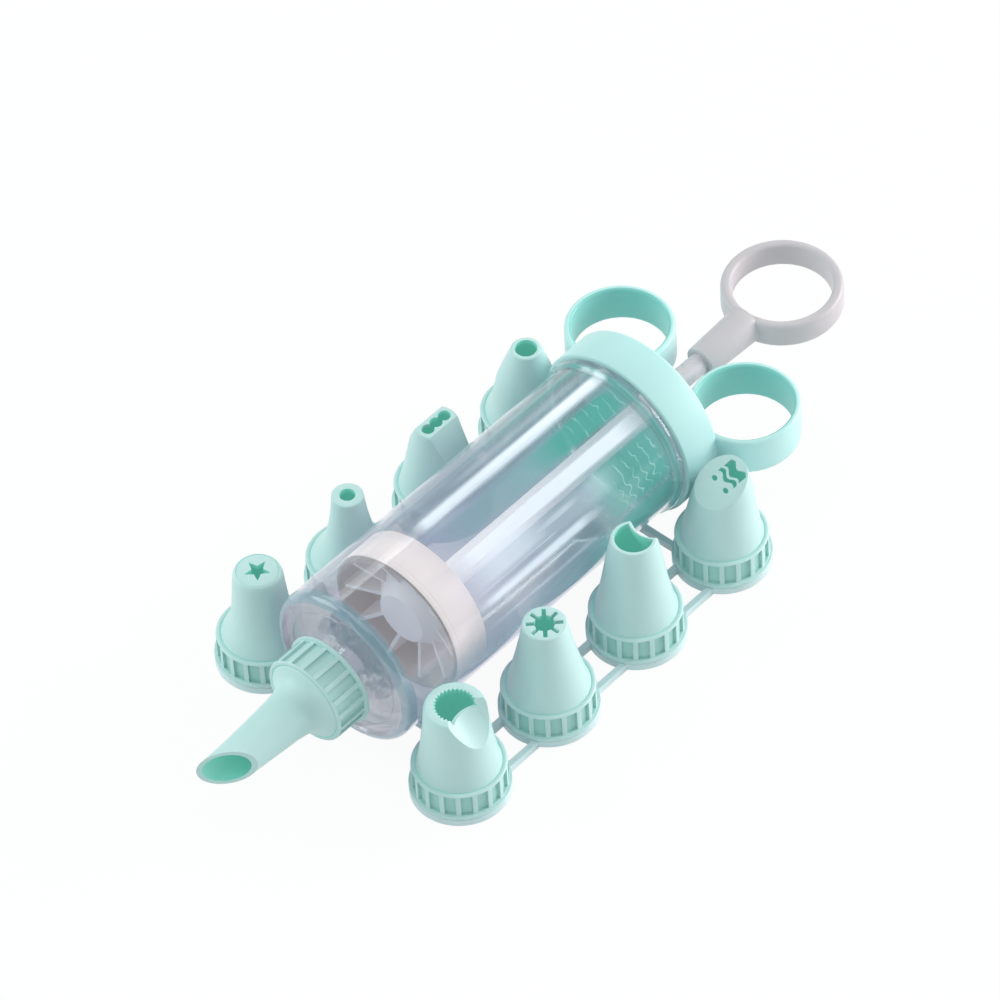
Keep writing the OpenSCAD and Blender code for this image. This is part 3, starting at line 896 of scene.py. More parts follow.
@dataclass
class Collar:
    """The ribbed collar that the tips and the nozzle share, in millimetres."""

    height: float = 8.9
    flange: float = 14.5
    flange_height: float = 1.0
    rib: float = 13.6
    bore: float = 10.6
    hollow: float = 8.4
    ribs: int = 18
    rib_share: float = 0.31
    rib_turn: float = 1.0
    panel_depth: float = 0.85
    crest: float = 0.42

    def outer(self) -> list[Span]:
        """The outside from the collar's bore to its shoulder, as lengths and radii."""
        h, f, r, low = self.height, self.flange, self.rib, self.flange_height
        return [
            (0, self.bore),
            (0, f - 0.25),
            (0.08, f - 0.08),
            (0.25, f),
            (low - 0.25, f),
            (low - 0.07, f - 0.08),
            (low, f - 0.3),
            (low, r + 0.12),
            (low + 0.12, r),
            (h - 0.75, r),
            (h - 0.42, r - 0.07),
            (h - 0.16, r - 0.26),
            (h - 0.03, r - 0.55),
            (h, r - 0.85),
            (h, 12.35),
            (h - 0.12, 12.1),
        ]

    def inner(self) -> list[Span]:
        """The threaded hollow from its roof to the open end, with two low crests."""
        bore, crest_bore = self.bore, self.bore - self.crest
        line: list[Span] = [(self.hollow, bore - 0.3), (self.hollow - 0.3, bore)]
        for place in (self.hollow - 2.6, self.hollow - 5.1):
            line += [(place + 0.7, bore), (place + 0.2, crest_bore), (place - 0.2, crest_bore), (place - 0.7, bore)]
        return line

    def sink_panels(self, piece: Piece, axis: Axis) -> None:
        """Sinks the panels between the grip ribs.

        Args:
            piece: The turned piece, with the collar standing at the axis's origin.
            axis: The piece's axis.
        """
        pitch = 360 / self.ribs
        low, high = self.flange_height + 0.15, self.height - 0.5

        def in_panel(spot: Vector) -> bool:
            """Whether a face lies between two ribs."""
            along, radius, angle = axis.measure(spot)
            turn = (angle - self.rib_turn + pitch / 2) % pitch - pitch / 2
            return low < along < high and radius > self.rib - 0.3 and abs(turn) > self.rib_share / 2 * pitch

        Bench.edit(piece)
        Bench.select_faces(piece, in_panel)
        bpy.ops.mesh.extrude_region_move()
        factor = (self.rib - self.panel_depth) / self.rib
        bpy.ops.transform.resize(value=axis.shrink(factor), center_override=axis.origin)
        Bench.leave()


class Opening(Enum):
    """The openings of the piping tips."""

    STAR = "star"
    SMALL_ROUND = "small_round"
    TRIPLE = "triple"
    LARGE_ROUND = "large_round"
    SERRATED = "serrated"
    OPEN_STAR = "open_star"
    PETAL = "petal"
    WAVE = "wave"


@dataclass
class PipingTip(SubAssembly):
    """A piping tip on its peg: a ribbed collar, a hollow body and its own opening, in millimetres."""

    opening: Opening
    outline: Outline
    height: float = 34.0
    roof: float = 1.6
    wall: float = 1.0
    cut_depth: float = 2.1
    soft_edge: float = 0.16
    shoulder: Span = (0.03, 11.76)
    face_slope: float = 31.0
    face_edge: float = 6.0
    slots_turn: float = -15.0
    slots_shift: float = -0.7
    lean: Span = (0.0, 0.0)
    collar: Collar = field(default_factory=Collar)

    @property
    def node(self) -> str:
        """The name of the tip's CAD node."""
        return self.opening.value + "_tip"

    @functools.cached_property
    def axis(self) -> Axis:
        """The tip's upright axis, from its collar's open end."""
        low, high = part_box(self.node)
        return Axis(Vector(((low.x + high.x) / 2, (low.y + high.y) / 2, low.z)), Z_AXIS, X_AXIS)

    def spot(self, x: float, y: float, z: float) -> Vector:
        """A point given in millimetres from the middle of the tip's foot, in metres."""
        return self.axis.origin + Vector((mm(x), mm(y), mm(z)))

    def body_line(self) -> list[Span]:
        """The body's outside from the shoulder to the top, as lengths and radii."""
        foot = self.collar.height
        points = (self.shoulder, *self.outline)
        return smooth_line([(foot + share * (self.height - foot), radius) for share, radius in points])

    def outside(self) -> Piece:
        """The solid tip with its threaded collar, before its passage is cut."""
        body = self.body_line()
        h, top_r = self.height, body[-1][1]
        rim = [(h - 0.22, top_r + 0.02), (h - 0.07, top_r - 0.1), (h, top_r - 0.3), (h, 0)]
        line = self.collar.outer() + body[:-1] + rim + [(self.collar.hollow, 0)] + self.collar.inner()
        return Bench.turn(self.node + "_piece", self.axis, line)

    def passage(self) -> Piece:
        """The hollow between the collar and the roof."""
        body = self.body_line()
        floor, roof = self.collar.hollow - 0.5, self.height - self.roof
        widest = self.collar.bore - 1
        start, end = self.collar.height + 1.5, roof - 0.5
        sides = [(a, min(r - self.wall - 0.3, widest)) for a, r in body if start < a < end]
        line = [(floor, 0), (floor, widest), *sides, (roof, body[-1][1] - self.wall - 0.1), (roof, 0)]
        return Bench.turn("passage", self.axis, line, 96)

    def shaft(self, points: Outline, deeper: float = 0.0) -> Piece:
        """A cutter that goes straight down through the roof.

        Args:
            points: Its corners about the axis.
            deeper: How much further down it goes than usual.

        Returns:
            The cutter.
        """
        depth = self.cut_depth + deeper
        corners = [self.spot(x, y, self.height - depth) for x, y in points]
        return Bench.prism("shaft", corners, Vector((0, 0, mm(depth + 2))))

    @staticmethod
    def circle(radii: Sequence[float], sides: int, x: float = 0.0, y: float = 0.0, start: float = 0.0) -> list[Span]:
        """The corners of a round or starry opening.

        Args:
            radii: The corners' distances from the middle, taken in turn.
            sides: How many corners there are.
            x: The middle's distance from the tip's axis along X.
            y: The same along Y.
            start: The first corner's angle, in radians.

        Returns:
            The corners.
        """
        line = []
        for i in range(sides):
            radius, turn = radii[i % len(radii)], start + math.tau * i / sides
            line.append((x + radius * math.cos(turn), y + radius * math.sin(turn)))
        return line

    def assemble(self, openings: Sequence[Piece], scoops: Callable[[float], list] = lambda _: []) -> None:
        """Cuts the tip from its solid, then finishes and dresses it.

        Args:
            openings: What is cut through its roof.
            scoops: Gives the cutters that shape its outside, grown by a wall's thickness.
        """
        piece, passage = self.outside(), self.passage()
        self.collar.sink_panels(piece, self.axis)
        for scoop in scoops(self.wall):
            Bench.combine(passage, scoop)
        for scoop in scoops(0.0):
            Bench.combine(piece, scoop)
        for cutter in (passage, *openings):
            Bench.combine(piece, cutter)
        Bench.soften(piece, self.soft_edge)
        self.lean_over(piece)
        self.mark_recesses(piece)
        Bench.polish(piece)
        self.keep(piece, self.node, self.node + "_body", Finish.MINT)

    def lean_over(self, piece: Piece) -> None:
        """Shifts the body's top sideways, more and more above the collar."""
        base, foot = self.axis.origin.z, self.collar.height

        def shift(spot: Vector) -> Vector:
            """How far a point moves."""
            share = max(0.0, ((spot.z - base) / MM - foot) / (self.height - foot))
            return Vector((mm(self.lean[0]), mm(self.lean[1]), 0)) * share**1.5

        Bench.move_points(piece, shift)

    def mark_recesses(self, piece: Piece) -> None:
        """Marks the sunk panels and the hollow, which the mint paints with shade and a faint glow."""
        axis, collar = self.axis, self.collar

        def depth(spot: Vector, normal: Vector) -> float:
            """How much painted shade a face gets, from 0 to 1, by how deep it lies."""
            along, radius, _ = axis.measure(spot)
            if normal.dot(axis.outward(spot)) < -0.3 or (normal.z < -0.5 and along > 1):
                return 1.0
            in_panel = collar.flange_height + 0.1 < along < collar.height - 0.5 and radius < collar.rib - 0.4
            return 0.45 if in_panel else 0.0

        Bench.mark(piece, depth)

    def build(self) -> None:
        """Builds the tip with its own opening."""
        getattr(self, "build_" + self.opening.value)()

    def build_star(self) -> None:
        """A five-pointed star."""
        self.assemble([self.shaft(self.circle((3.9, 1.7), 10, start=math.radians(225)))])

    def build_small_round(self) -> None:
        """A small round opening."""
        self.assemble([self.shaft(self.circle((2.3,), 48))])

    def build_large_round(self) -> None:
        """A large round opening."""
        self.assemble([self.shaft(self.circle((3.25,), 48))])

    def build_triple(self) -> None:
        """Three round openings in a row between two flat sides."""

        def facets(grow: float) -> list[Piece]:
            """The two blocks that flatten the sides."""
            blocks = []
            for side in (-1, 1):
                base = self.spot(0, side * (2.9 - grow), self.height)
                lean = Matrix.Rotation(math.radians(side * 26), 3, "X")
                edges = ((-12, -23), (12, -23), (12, 11), (-12, 11))
                corners = [lean @ Vector((mm(x), 0, mm(z))) + base for x, z in edges]
                blocks.append(Bench.prism("facet", corners, lean @ Vector((0, mm(side * 12), 0))))
            return blocks

        radii_places = ((1.9, -3.38), (1.91, 0.0), (1.92, 3.38))
        self.assemble([self.shaft(self.circle((radius,), 40, x)) for radius, x in radii_places], facets)

    def build_serrated(self) -> None:
        """A wide round opening with fine teeth, and a scoop on one side."""

        def scoop(grow: float) -> list[Piece]:
            """The slanted round cutter."""
            run = Matrix.Rotation(math.radians(-41), 3, "X") @ Vector((0, 0, mm(25.9)))
            top = self.spot(0, -16.1, self.height)
            return [Bench.rod("scoop", top - run, top + run, 11.5 + grow, 128)]

        teeth = self.shaft(self.circle((6.1, 5.4), 60))
        wall = Bench.rod("wall", self.spot(0, -10.5, 20), self.spot(0, -10.5, 45), 8.1, 96)
        self.assemble([Bench.combine(teeth, wall)], scoop)

    def build_open_star(self) -> None:
        """Eight slots round a round middle."""
        points: list[Span] = []
        for i in range(8):
            turn = math.radians(i * 45)
            for x, y in ((2.9, -0.6), (5.2, -0.6), (5.2, 0.6), (2.9, 0.6)):
                points.append((x * math.cos(turn) - y * math.sin(turn), x * math.sin(turn) + y * math.cos(turn)))
        self.assemble([self.shaft(points, 1.9)])

    def build_petal(self) -> None:
        """A crescent in front of a flute that leaves two horns."""

        def flute(grow: float) -> list[Piece]:
            """The slanted round cutter."""
            run = Matrix.Rotation(math.radians(-23), 3, "Y") @ Vector((0, 0, mm(24.2)))
            top = self.spot(10.2, 0, self.height)
            return [Bench.rod("flute", top - run, top + run, 7.5 + grow, 96)]

        wall = Bench.rod("wall", self.spot(10.2, 0, 25), self.spot(10.2, 0, 45), 8.5, 96)
        self.assemble([Bench.combine(self.shaft(self.circle((5.5,), 48)), wall)], flute)

    def on_face(self, x: float, y: float, z: float) -> Vector:
        """A point at a height over the wave tip's sloping face, in metres."""
        slope = math.radians(self.face_slope)
        turned = Matrix.Rotation(-slope, 3, "Y") @ Vector((x, y, z))
        return self.spot(turned.x, turned.y, turned.z + self.height - self.face_edge * math.tan(slope))

    def face_cutter(self, points: Outline) -> Piece:
        """A cutter square to the sloping face, with its corners turned on it."""
        turn, shift = Matrix.Rotation(math.radians(self.slots_turn), 2), Vector((0, self.slots_shift))
        places = [turn @ Vector(point) + shift for point in points]
        corners = [self.on_face(place.x, place.y, -3) for place in places]
        return Bench.prism("slot", corners, self.on_face(0, 0, 1) - self.on_face(0, 0, -3))

    def build_wave(self) -> None:
        """A sloping face with a wide wavy slot, a narrow one and two small holes."""

        def plane(grow: float) -> list[Piece]:
            """The block that slopes the face."""
            corners = [self.on_face(x, y, -grow) for x, y in ((-24, -24), (24, -24), (24, 24), (-24, 24))]
            return [Bench.prism("plane", corners, self.on_face(0, 0, 30) - self.on_face(0, 0, 0))]

        slots = []
        for place, width, reach in ((3.1, 2.7, 3.7), (0.3, 1.25, 3.8)):
            run = [(place + 0.6 * math.sin(math.radians(i * 27)), reach * (i / 10 - 1)) for i in range(21)]
            slots.append([(x + width / 2, y) for x, y in run] + [(x - width / 2, y) for x, y in reversed(run)])
        for side in (-1, 1):
            slots.append([(0.7 * x - 2.3, y + side * 2.7) for x, y in self.circle((1.0,), 20)])
        self.assemble([self.face_cutter(points) for points in slots], plane)


TIPS: dict[Opening, tuple[float, Outline]] = {
    Opening.STAR: (34.0, ((0.1, 10.8), (0.28, 8.9), (0.6, 7.9), (0.88, 7.3), (0.97, 6.8), (1, 6.0))),
    Opening.SMALL_ROUND: (34.0, ((0.12, 10.0), (0.32, 7.4), (0.65, 5.6), (1, 4.6))),
    Opening.TRIPLE: (34.0, ((0.1, 11.2), (0.35, 9.8), (0.7, 8.0), (1, 6.5))),
    Opening.LARGE_ROUND: (34.0, ((0.2, 10.0), (0.5, 8.6), (0.8, 6.2), (0.93, 5.04), (1, 4.38))),
    Opening.SERRATED: (32.4, ((0.1, 11.4), (0.35, 10.4), (0.7, 9.4), (0.93, 8.9), (1, 8.3))),
    Opening.OPEN_STAR: (34.0, ((0.1, 11.2), (0.35, 9.6), (0.7, 7.6), (1, 6.3))),
    Opening.PETAL: (37.2, ((0.1, 11.2), (0.35, 9.7), (0.7, 8.1), (0.9, 7.1), (1, 6.54))),
    Opening.WAVE: (35.4, ((0.1, 11.3), (0.35, 10.06), (0.7, 8.5), (1, 6.0))),
}
LEANS: dict[Opening, Span] = {
    Opening.PETAL: (0.5, 0.0),
    Opening.WAVE: (0.5, -1.7),
    Opening.TRIPLE: (-0.5, -0.5),
    Opening.LARGE_ROUND: (0.3, -0.9),
}


@dataclass
class TipRack(SubAssembly):
    """The flat rack: a disc and a peg for each tip, long bars along the rows and two crossbars, in millimetres."""

    thickness: float = 2.5
    disc_radius: float = 14.5
    peg_height: float = 3.0
    peg_radius: float = 8.6
    bar: float = 1.8
    bar_offset: float = 6.4
    front_bar: float = 15.5
    rear_bar: float = 110.5

    def profile(self) -> list[Span]:
        """A disc with its peg, as heights and radii."""
        t, r, p, top = self.thickness, self.disc_radius, self.peg_radius, self.thickness + self.peg_height
        disc = [(0, 0), (0, r - 0.3), (0.3, r), (t - 0.25, r), (t, r - 0.25)]
        return disc + [(t, p + 0.3), (t + 0.3, p), (top - 0.4, p), (top, p - 0.4), (top, 0)]

    def bar_block(self, x0: float, x1: float, y0: float, y1: float) -> Piece:
        """A flat bar between two corners, in metres."""
        corners = [Vector((x, y, 0)) for x, y in ((x0, y0), (x1, y0), (x1, y1), (x0, y1))]
        return Bench.prism("bar", corners, Z_AXIS * mm(self.thickness))

    def build(self) -> None:
        """Builds the rack and dresses it."""
        spots = [Vector((spot.x, spot.y, 0)) for spot in (middle(opening.value + "_tip") for opening in Opening)]
        row_y = max(spot.y for spot in spots)
        first, last = min(spot.x for spot in spots), max(spot.x for spot in spots)
        nose = pump_axis().origin.x
        front, rear, half = nose + mm(self.front_bar), nose + mm(self.rear_bar), mm(self.bar / 2)
        piece = Bench.turn("tip_rack_piece", Axis(spots[0], Z_AXIS, X_AXIS), self.profile(), 96)
        others = [Bench.copy(piece, Matrix.Translation(spot - spots[0])) for spot in spots[1:]]
        for side in (-1, 1):
            for edge in (-1, 1):
                y = side * row_y + edge * mm(self.bar_offset)
                others.append(self.bar_block(min(first, front - half), max(last, rear + half), y - half, y + half))
        reach = row_y - mm(self.bar_offset)
        for x in (front, rear):
            others.append(self.bar_block(x - half, x + half, -reach, reach))
        for other in others:
            Bench.combine(piece, other, "UNION")
        Bench.soften(piece, 0.35, 50)
        Bench.polish(piece)
        self.keep(piece, "tip_rack", "rack", Finish.RACK)


@dataclass
class FillingNozzle(SubAssembly):
    """The filling nozzle on the spout: a ribbed collar and a long tube with a slanted mouth, in millimetres."""

    length: float = 42.2
    mouth_radius: float = 5.75
    mouth_angle: float = 43.0
    mouth_turn: float = 80.0
    wall: float = 1.1

    def build(self) -> None:
        """Builds the nozzle and dresses it."""
        pump = pump_axis()
        axis = Axis(pump.point(-(Spout.step + 0.3), 0), -X_AXIS, Z_AXIS)
        collar = Collar(height=11.0, hollow=10.5)
        mouth, length = self.mouth_radius, self.length
        reach = mouth / math.tan(math.radians(self.mouth_angle))
        end = length + reach + 1
        tube = smooth_line([(11.2, 11.9), (11.7, 10.9), (12.7, 9.5), (14.2, 8.35), (16.6, 7.5), (20, 7.0)], 4)
        tube += [(length - reach, mouth + 0.2), (length, mouth), (end, mouth)]
        inside = [(end, mouth - self.wall), (length - reach, mouth + 0.1 - self.wall)]
        inside += [(17, 5.9), (11.5, 6.0), (10.5, 6.3)]
        piece = Bench.turn("filling_nozzle_piece", axis, collar.outer() + tube + inside + collar.inner())
        collar.sink_panels(piece, axis)
        piece = Bench.combine(piece, self.slant(axis))
        Bench.soften(piece, 0.22)

        def depth(spot: Vector, normal: Vector) -> float:
            """How much painted shade a face gets, from 0 to 1, by how deep it lies."""
            along, radius, _ = axis.measure(spot)
            if normal.dot(axis.outward(spot)) < -0.3:
                return 1.0
            return 0.15 if 1.1 < along < 10.4 and radius < 13.2 else 0.0

        Bench.mark(piece, depth)
        Bench.polish(piece)
        self.keep(piece, "filling_nozzle", "nozzle", Finish.MINT)

    def slant(self, axis: Axis) -> Piece:
        """The block that cuts the tube's end at a slant."""
        size = mm(46)
        turn, slope = math.radians(self.mouth_turn), math.radians(self.mouth_angle)
        side = Vector((0, math.sin(turn), -math.cos(turn)))
        along = side * math.sin(slope) - X_AXIS * math.cos(slope)
        normal = (-X_AXIS * math.sin(slope) - side * math.cos(slope)).normalized()
        across = normal.cross(along).normalized()
        corners = [
            axis.point(self.length, 0) + (along * a + across * b) * size / 2
            for a, b in ((-1, -1), (1, -1), (1, 1), (-1, 1))
        ]
        return Bench.prism("slant", corners, normal * size)


@dataclass
class Barrel(SubAssembly):
    """The clear barrel with its spout, recessed front disc, rounded rim, bead and threaded neck, in millimetres."""

    bore: float = 23.0
    bead_end: float = 115.4
    end: float = 125.2
    neck: float = 23.9

    @staticmethod
    def crests(first: float, pitch: float, root: float) -> list[Span]:
        """Three rounded thread crests on a root radius."""
        shape = ((-0.7, 0), (-0.28, 0.5), (0, 0.6), (0.28, 0.5), (0.7, 0))
        return [(first + pitch * i + place, root + rise) for i in range(3) for place, rise in shape]

    def outline(self) -> list[Span]:
        """The barrel's whole outline, from the spout's mouth round the outside and back through the bore."""
        tip, step, root = -Spout.length, -Spout.step, Spout.radius - Spout.crest
        end, neck, bore, rim = self.end, self.neck, self.bore, self.bead_end
        line = [(tip, 5.9), (tip, root - 0.6), (tip + 0.6, root), *self.crests(tip + 1.4, 2.5, root)]
        line += [(step, root), (step, 11.4), (step + 0.2, 11.6), (0.4, 11.6)]
        line += arc_line((0.4, 12.2), 0.6, -90, 0, 4)[1:]
        line += [(1.0, 18.6), (1.25, 18.75), (1.25, 19.05), (1.0, 19.2), (1.0, 21.4), (0.7, 21.8), (0.3, 22.1)]
        line += [(0.06, 22.35), *arc_line((2.4, 22.6), 2.4, 180, 90, 10)]
        line += smooth_line([(111.5, 25.0), (112.0, 25.35), (112.6, 25.95), (113.1, 26.1)], 3)
        line += [(115.0, 26.1), (115.3, 26.0), (rim, 25.7), (rim, neck), *self.crests(117.7, 3, neck)]
        line += [(end - 0.2, neck), (end, neck - 0.2), (end, bore + 0.15), (end - 0.2, bore)]
        line += arc_line((5.1, 21.5), 1.5, 90, 180, 6)
        return line + [(3.6, 6.2), (3.2, 5.6), (2.8, Spout.bore), (tip + 0.3, Spout.bore)]

    def build(self) -> None:
        """Builds the barrel and dresses it."""
        piece = Bench.turn("barrel_piece", pump_axis(), self.outline(), 192)
        Bench.polish(piece, 30)
        self.keep(piece, "barrel", "pump", Finish.CLEAR)


@dataclass
class Piston(SubAssembly):
    """The piston: a pale band that seals in the bore, and a grey core with a hub and gussets, in millimetres."""

    start: float = 22.7
    width: float = 12.3
    outer: float = 22.95
    inner: float = 21.45
    web: float = 2.2
    gussets: int = 10
    gusset_width: float = 1.2

    def depth(self, spot: Vector, normal: Vector) -> float:
        """The share of painted shadow on a face: 1 on the hollow front's wall and floor, half of that on the gussets'
        sides, 0 elsewhere.
        """
        axis = pump_axis()
        along, radius, _ = axis.measure(spot)
        facing = normal.dot(axis.outward(spot))
        if facing < -0.4 or (radius > 16 and along < self.start + self.width - 1 and facing < 0.4):
            return 1.0
        sideways = abs(facing) < 0.3 and abs(normal.dot(axis.direction)) < 0.3
        return 0.5 if sideways and radius > 10 else 0.0

    def sleeve(self) -> None:
        """Builds the band and dresses it."""
        s, end, o, i = self.start, self.start + self.width, self.outer, self.inner
        band = [(s, i + 0.3), (s, o - 0.5), (s + 0.15, o - 0.15), (s + 0.5, o), (s + 1.6, o), (s + 1.75, o - 0.12)]
        band += [(s + 1.95, o - 0.12), (s + 2.1, o), (end - 0.5, o), (end - 0.15, o - 0.15), (end, o - 0.5)]
        band += [(end, i + 0.1), (end - 0.1, i), (s + 0.3, i)]
        piece = Bench.turn("piston_band", pump_axis(), band)
        Bench.mark(piece, self.depth)
        Bench.polish(piece, 30)
        self.keep(piece, "piston_sleeve", "piston_seal", Finish.WHITE)

    def hub(self) -> Piece:
        """The core without its gussets."""
        s, end, r = self.start, self.start + self.width, self.inner - 0.05
        web = end - self.web
        line = [(s + 2.0, 0), (s + 1.9, 7.0), (s + 2.0, 8.0)]
        line += smooth_line([(s + 4.0, 9.4), (web - 3.8, 11.6), (web - 1.6, 13.6), (web, 16.6)])
        line += [(web, r - 0.1), (web + 0.1, r), (end - 0.2, r), (end, r - 0.2), (end, 1.85), (web - 2, 1.85)]
        line += [(web - 2, 5.5), (web - 2.4, 5.9), (s + 3.2, 5.9), (s + 3.2, 0)]
        return Bench.turn("piston_core_piece", pump_axis(), line)

    def build(self) -> None:
        """Builds both pieces and dresses them."""
        self.sleeve()
        axis, core = pump_axis(), self.hub()
        s, web, r, pitch = self.start, self.start + self.width - self.web, self.inner - 0.35, math.tau / self.gussets
        fin_line = [(web + 0.4, 7.2), (web + 0.4, r), (s + 1.2, r), (s + 1.0, r - 0.7), (web - 3.6, 7.2)]
        across = axis.direction.cross(axis.radial) * mm(self.gusset_width)
        upright = Bench.prism("fin", [axis.point(a, r) - across / 2 for a, r in fin_line], across)
        to_axis = Matrix.Translation(axis.origin)
        for n in range(self.gussets):
            turn = Matrix.Rotation((n + 0.5) * pitch, 4, axis.direction)
            Bench.combine(core, Bench.copy(upright, to_axis @ turn @ to_axis.inverted()), "UNION")
        bpy.data.objects.remove(upright)
        Bench.soften(core, 0.2, 40)
        Bench.mark(core, self.depth)
        Bench.polish(core)
        self.keep(core, "piston_core", "plunger", Finish.GREY)


@dataclass
class ScrewCap(SubAssembly):
    """The screw cap with the two finger rings moulded on its rear, in millimetres."""

    start: float = 115.7
    end: float = 128.8
    floor: float = 126.2
    radius: float = 27.2
    bore: float = 24.9
    rod_hole: float = 4.3
    ring_radius: float = 16.2
    ring_wall: float = 2.1
    ring_height: float = 12.5
    ring_place: float = 143.9
    ring_side: float = 23.7

    def shell(self) -> Piece:
        """The cap without its rings."""
        start, end, floor, r, bore, hole = self.start, self.end, self.floor, self.radius, self.bore, self.rod_hole
        line = [(start, bore + 0.3), (start, r - 0.5), (start + 0.15, r - 0.15), (start + 0.5, r)]
        line += arc_line((end - 1.3, r - 1.3), 1.3, 90, 0, 8)
        line += [(end, hole + 0.4), (end - 0.15, hole + 0.1), (end - 0.5, hole), (floor, hole)]
        line += [(floor, bore - 0.4), (floor - 0.4, bore)]
        for crest in (124.2, 121.2, 118.2):
            line += [(crest + 0.6, bore), (crest + 0.15, bore - 0.25), (crest - 0.15, bore - 0.25), (crest - 0.6, bore)]
        return Bench.turn("screw_cap_piece", pump_axis(), line + [(start + 0.3, bore)], 144)

    def centre(self, side: int) -> Vector:
        """The middle of the finger ring on one side."""
        return pump_axis().point(self.ring_place, 0) + Y_AXIS * side * mm(self.ring_side)

    def foot(self, side: int) -> Piece:
        """The flared foot between a ring and the cap's rear wall."""
        c, y0, e = self.ring_place, self.ring_side, self.end
        reach, inner_y, outer_y = self.ring_radius - 0.5, -6.7, 3.2
        points = [(e - 1.1, y0 - 8.6), (e, y0 - 8.2), (e + 0.5, y0 - 7.3), (e + 1.0, y0 - 6.7)]
        start, end = (math.degrees(math.atan2(y, -math.sqrt(reach**2 - y**2))) for y in (inner_y, outer_y))
        points += arc_line((c, y0), reach, start, end - 360, 12)
        points.append((e - 1.1, y0 + 2.6))
        low = 0.6 - self.ring_height / 2
        corners = [pump_axis().point(a, 0) + Vector((0, side * mm(y), mm(low))) for a, y in points]
        return Bench.prism("ring_foot", corners, Z_AXIS * mm(self.ring_height - 1.2))

    def depth(self, spot: Vector, normal: Vector) -> float:
        """How much painted shade the rings' inner faces get, and 0 elsewhere."""
        for side in (-1, 1):
            out = spot - self.centre(side)
            out.z = 0
            if out.length < mm(self.ring_radius - 1.0) and normal.dot(out.normalized()) < -0.4:
                return 0.8
        return 0.0

    def build(self) -> None:
        """Builds the cap and dresses it."""
        piece = self.shell()
        section = ring_line(self.ring_height / 2, self.ring_radius - self.ring_wall, self.ring_radius, 1.0)
        right_ring = Bench.turn("finger_ring", Axis(self.centre(-1), Z_AXIS, X_AXIS), section, 144)
        left_ring = Bench.copy(right_ring, Matrix.Translation(self.centre(1) - self.centre(-1)))
        for side, ring in ((-1, right_ring), (1, left_ring)):
            Bench.combine(piece, ring, "UNION")
            Bench.combine(piece, self.foot(side), "UNION")
        Bench.soften(piece, 0.5, 42, 3)
        Bench.mark(piece, self.depth)
        Bench.polish(piece, 35)
        self.keep(piece, "screw_cap", "cap", Finish.MINT_CAP)


@dataclass
class Plunger(SubAssembly):
    """The rod, its pin and the thumb ring with its neck, in millimetres."""

    rod_start: float = 35.0
    rod_end: float = 139.5
    pin_end: float = 165.5
    pin_depth: float = 14.0
    neck_start: float = 151.5
    ring_place: float = 187.85
    ring_radius: float = 17.95
    ring_wall: float = 3.3
    ring_height: float = 8.3

    def build(self) -> None:
        """Builds the three pieces and dresses them."""
        axis = pump_axis()
        start, end, pin, tip = self.rod_start, self.rod_end, self.rod_end - self.pin_depth, self.pin_end
        rod_line = [(start, 1.5), (start, 4.0), (end - 0.6, 4.0), (end - 0.2, 3.8), (end, 3.4), (pin, 3.3), (pin, 0)]
        rod_line += [(start + 7.8, 0), (start + 7.8, 1.5)]
        pin_line = [(pin, 0), (pin, 3.1), (pin + 0.2, 3.3), (tip - 0.2, 3.3), (tip, 3.1), (tip, 0)]
        for name, line, node, finish in (
            ("rod_piece", rod_line, "plunger_rod", Finish.ROD),
            ("pin_piece", pin_line, "handle_pin", Finish.LILAC_DARK),
        ):
            piece = Bench.turn(name, axis, line, 72)
            Bench.polish(piece, 30)
            self.keep(piece, node, "plunger", finish)
        self.handle(axis)

    def handle(self, axis: Axis) -> None:
        """The thumb ring with its neck."""
        n, inner = self.neck_start, self.ring_radius - self.ring_wall
        root = self.ring_place - self.ring_radius + self.ring_wall / 2
        neck_line = [(n, 3.35), (n, 4.5), (n + 0.15, 4.85), (n + 0.5, 5.0), (root - 3, 5.66), (root, 5.8), (root, 0)]
        neck = Bench.turn("thumb_ring_piece", axis, neck_line + [(n + 14, 0), (n + 14, 3.35)], 96)
        centre = axis.point(self.ring_place, 0)
        section = ring_line(self.ring_height / 2, inner, self.ring_radius, 1.3)
        piece = Bench.combine(neck, Bench.turn("ring", Axis(centre, Z_AXIS, X_AXIS), section, 144), "UNION")
        reach = Z_AXIS * mm(8)
        Bench.combine(piece, Bench.rod("hollow", centre - reach, centre + reach, inner + 0.02, 144))
        Bench.soften(piece, 0.6, 42, 3)
        Bench.polish(piece, 35)
        self.keep(piece, "thumb_ring", "plunger", Finish.LILAC)


@dataclass(frozen=True)
class Lamp:
    """A soft lamp that faces the object: the way to it, its sides and distance in metres, its watts and its tint."""

    name: str
    towards: Triple
    size: Span
    power: float
    tint: Triple = (1.0, 1.0, 1.0)
    distance: float = 1.5

    def make(self) -> None:
        """Makes the lamp, with its first side along the barrel's direction."""
        light = bpy.data.lights.new(self.name, "AREA")
        light.shape = "RECTANGLE"
        light.size, light.size_y = self.size
        light.energy = self.power
        light.color = self.tint
        out = Vector(self.towards).normalized()
        along = (X_AXIS - out * out.x).normalized()
        lamp = bpy.data.objects.new(self.name, light)
        lamp.matrix_world = Matrix((along, out.cross(along), out)).transposed().to_4x4()
        lamp.location = out * self.distance
        bpy.context.scene.collection.objects.link(lamp)


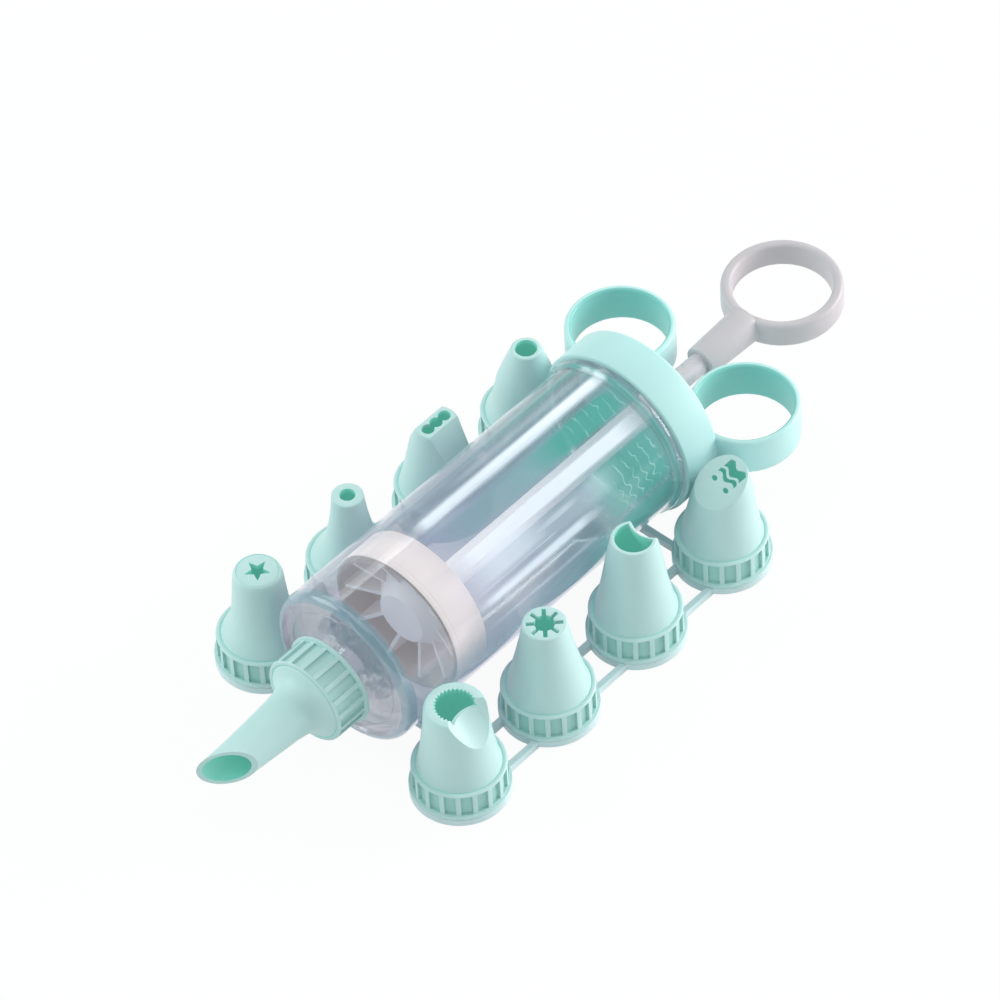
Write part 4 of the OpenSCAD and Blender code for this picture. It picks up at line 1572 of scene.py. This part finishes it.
class Studio:
    """The camera, the floor, the light and the pale surroundings."""

    place = Vector((-0.95653, -0.94515, 1.52346))
    azimuth = -45.04
    elevation = 47.94
    roll = -3.82
    lens = 256.43
    lamps = (
        Lamp("right_lamp", (0.84, -0.48, 0.3), (1.0, 0.9), 21, (1.0, 0.985, 0.985)),
        Lamp("left_lamp", (-0.45, 0.75, 0.5), (1.0, 0.9), 9, (0.9, 1.0, 0.99)),
        Lamp("top_lamp", (-0.25, -0.05, 1.0), (0.9, 0.9), 3.5),
        Lamp("window_lamp", (0.474, 0.628, 0.617), (0.9, 0.2), 1),
    )

    def camera(self) -> None:
        """Makes the camera at the photograph's viewpoint."""
        az, el, ro = (math.radians(v) for v in (self.azimuth, self.elevation, self.roll))
        right = Vector((math.cos(az), math.sin(az), 0))
        back = Vector((math.sin(az) * math.cos(el), -math.cos(az) * math.cos(el), math.sin(el)))
        up = back.cross(right)
        turned_right = right * math.cos(ro) + up * math.sin(ro)
        turned_up = up * math.cos(ro) - right * math.sin(ro)
        lens = bpy.data.cameras.new("viewpoint")
        lens.lens = self.lens
        lens.sensor_width = 36
        lens.clip_start = 0.05
        lens.clip_end = 30
        camera = bpy.data.objects.new("viewpoint", lens)
        camera.matrix_world = Matrix((turned_right, turned_up, back)).transposed().to_4x4()
        camera.location = self.place
        bpy.context.scene.collection.objects.link(camera)
        bpy.context.scene.camera = camera

    def floor(self) -> None:
        """Makes the pale floor, which keeps the object's shadow."""
        Bench.clear_selection()
        bpy.ops.mesh.primitive_plane_add(size=12, location=(0, 0, -0.0002))
        floor = bpy.context.object
        floor.name = "pale_floor"
        desk = NodeDesk.material("pale_floor_paint")
        diffuse = desk.node("ShaderNodeBsdfDiffuse", {"Color": (0.9, 0.9, 0.9, 1)})
        bright = desk.node("ShaderNodeEmission", {"Color": (1, 1, 1, 1), "Strength": 1.0})
        camera, gloss, through = (
            desk.node("ShaderNodeLightPath", out=f"Is {kind} Ray") for kind in ("Camera", "Glossy", "Transmission")
        )
        floor.data.materials.append(desk.finish(desk.mix(camera.high(gloss).high(through) * 0.93, diffuse, bright)))

    def world(self) -> None:
        """Makes the pale surroundings."""
        world = bpy.data.worlds.new("pale_room")
        bpy.context.scene.world = world
        desk = NodeDesk(world)
        sky = desk.node("ShaderNodeBackground", {"Color": (0.84, 1.0, 0.965, 1), "Strength": 0.56})
        seen = desk.node("ShaderNodeBackground", {"Color": (1, 1, 1, 1), "Strength": 1.0})
        camera = desk.node("ShaderNodeLightPath", out="Is Camera Ray")
        desk.finish(desk.mix(camera, sky, seen), "ShaderNodeOutputWorld")

    def build(self) -> None:
        """Sets up the whole studio."""
        self.floor()
        self.world()
        for lamp in self.lamps:
            lamp.make()
        scene = bpy.context.scene
        scene.view_settings.view_transform = "Standard"
        scene.view_settings.look = "None"


def main() -> None:
    """Builds everything in order."""
    logging.basicConfig(level=logging.INFO, format="%(name)s: %(message)s")
    studio = Studio()
    studio.camera()
    finishes = FinishBox()
    for assembly in (TipRack, Barrel, FillingNozzle, Piston, ScrewCap, Plunger):
        assembly(finishes).build()
    for opening, (height, outline) in TIPS.items():
        PipingTip(finishes, opening, outline, height, lean=LEANS.get(opening, (0.0, 0.0))).build()
    hidden = {"spout_washer": Finish.WASHER, "cap_washer": Finish.WASHER, "piston_screw": Finish.STEEL}
    for node, finish in hidden.items():
        finishes.put_on_node(node, finish)
    studio.build()


if __name__ == "__main__":
    main()
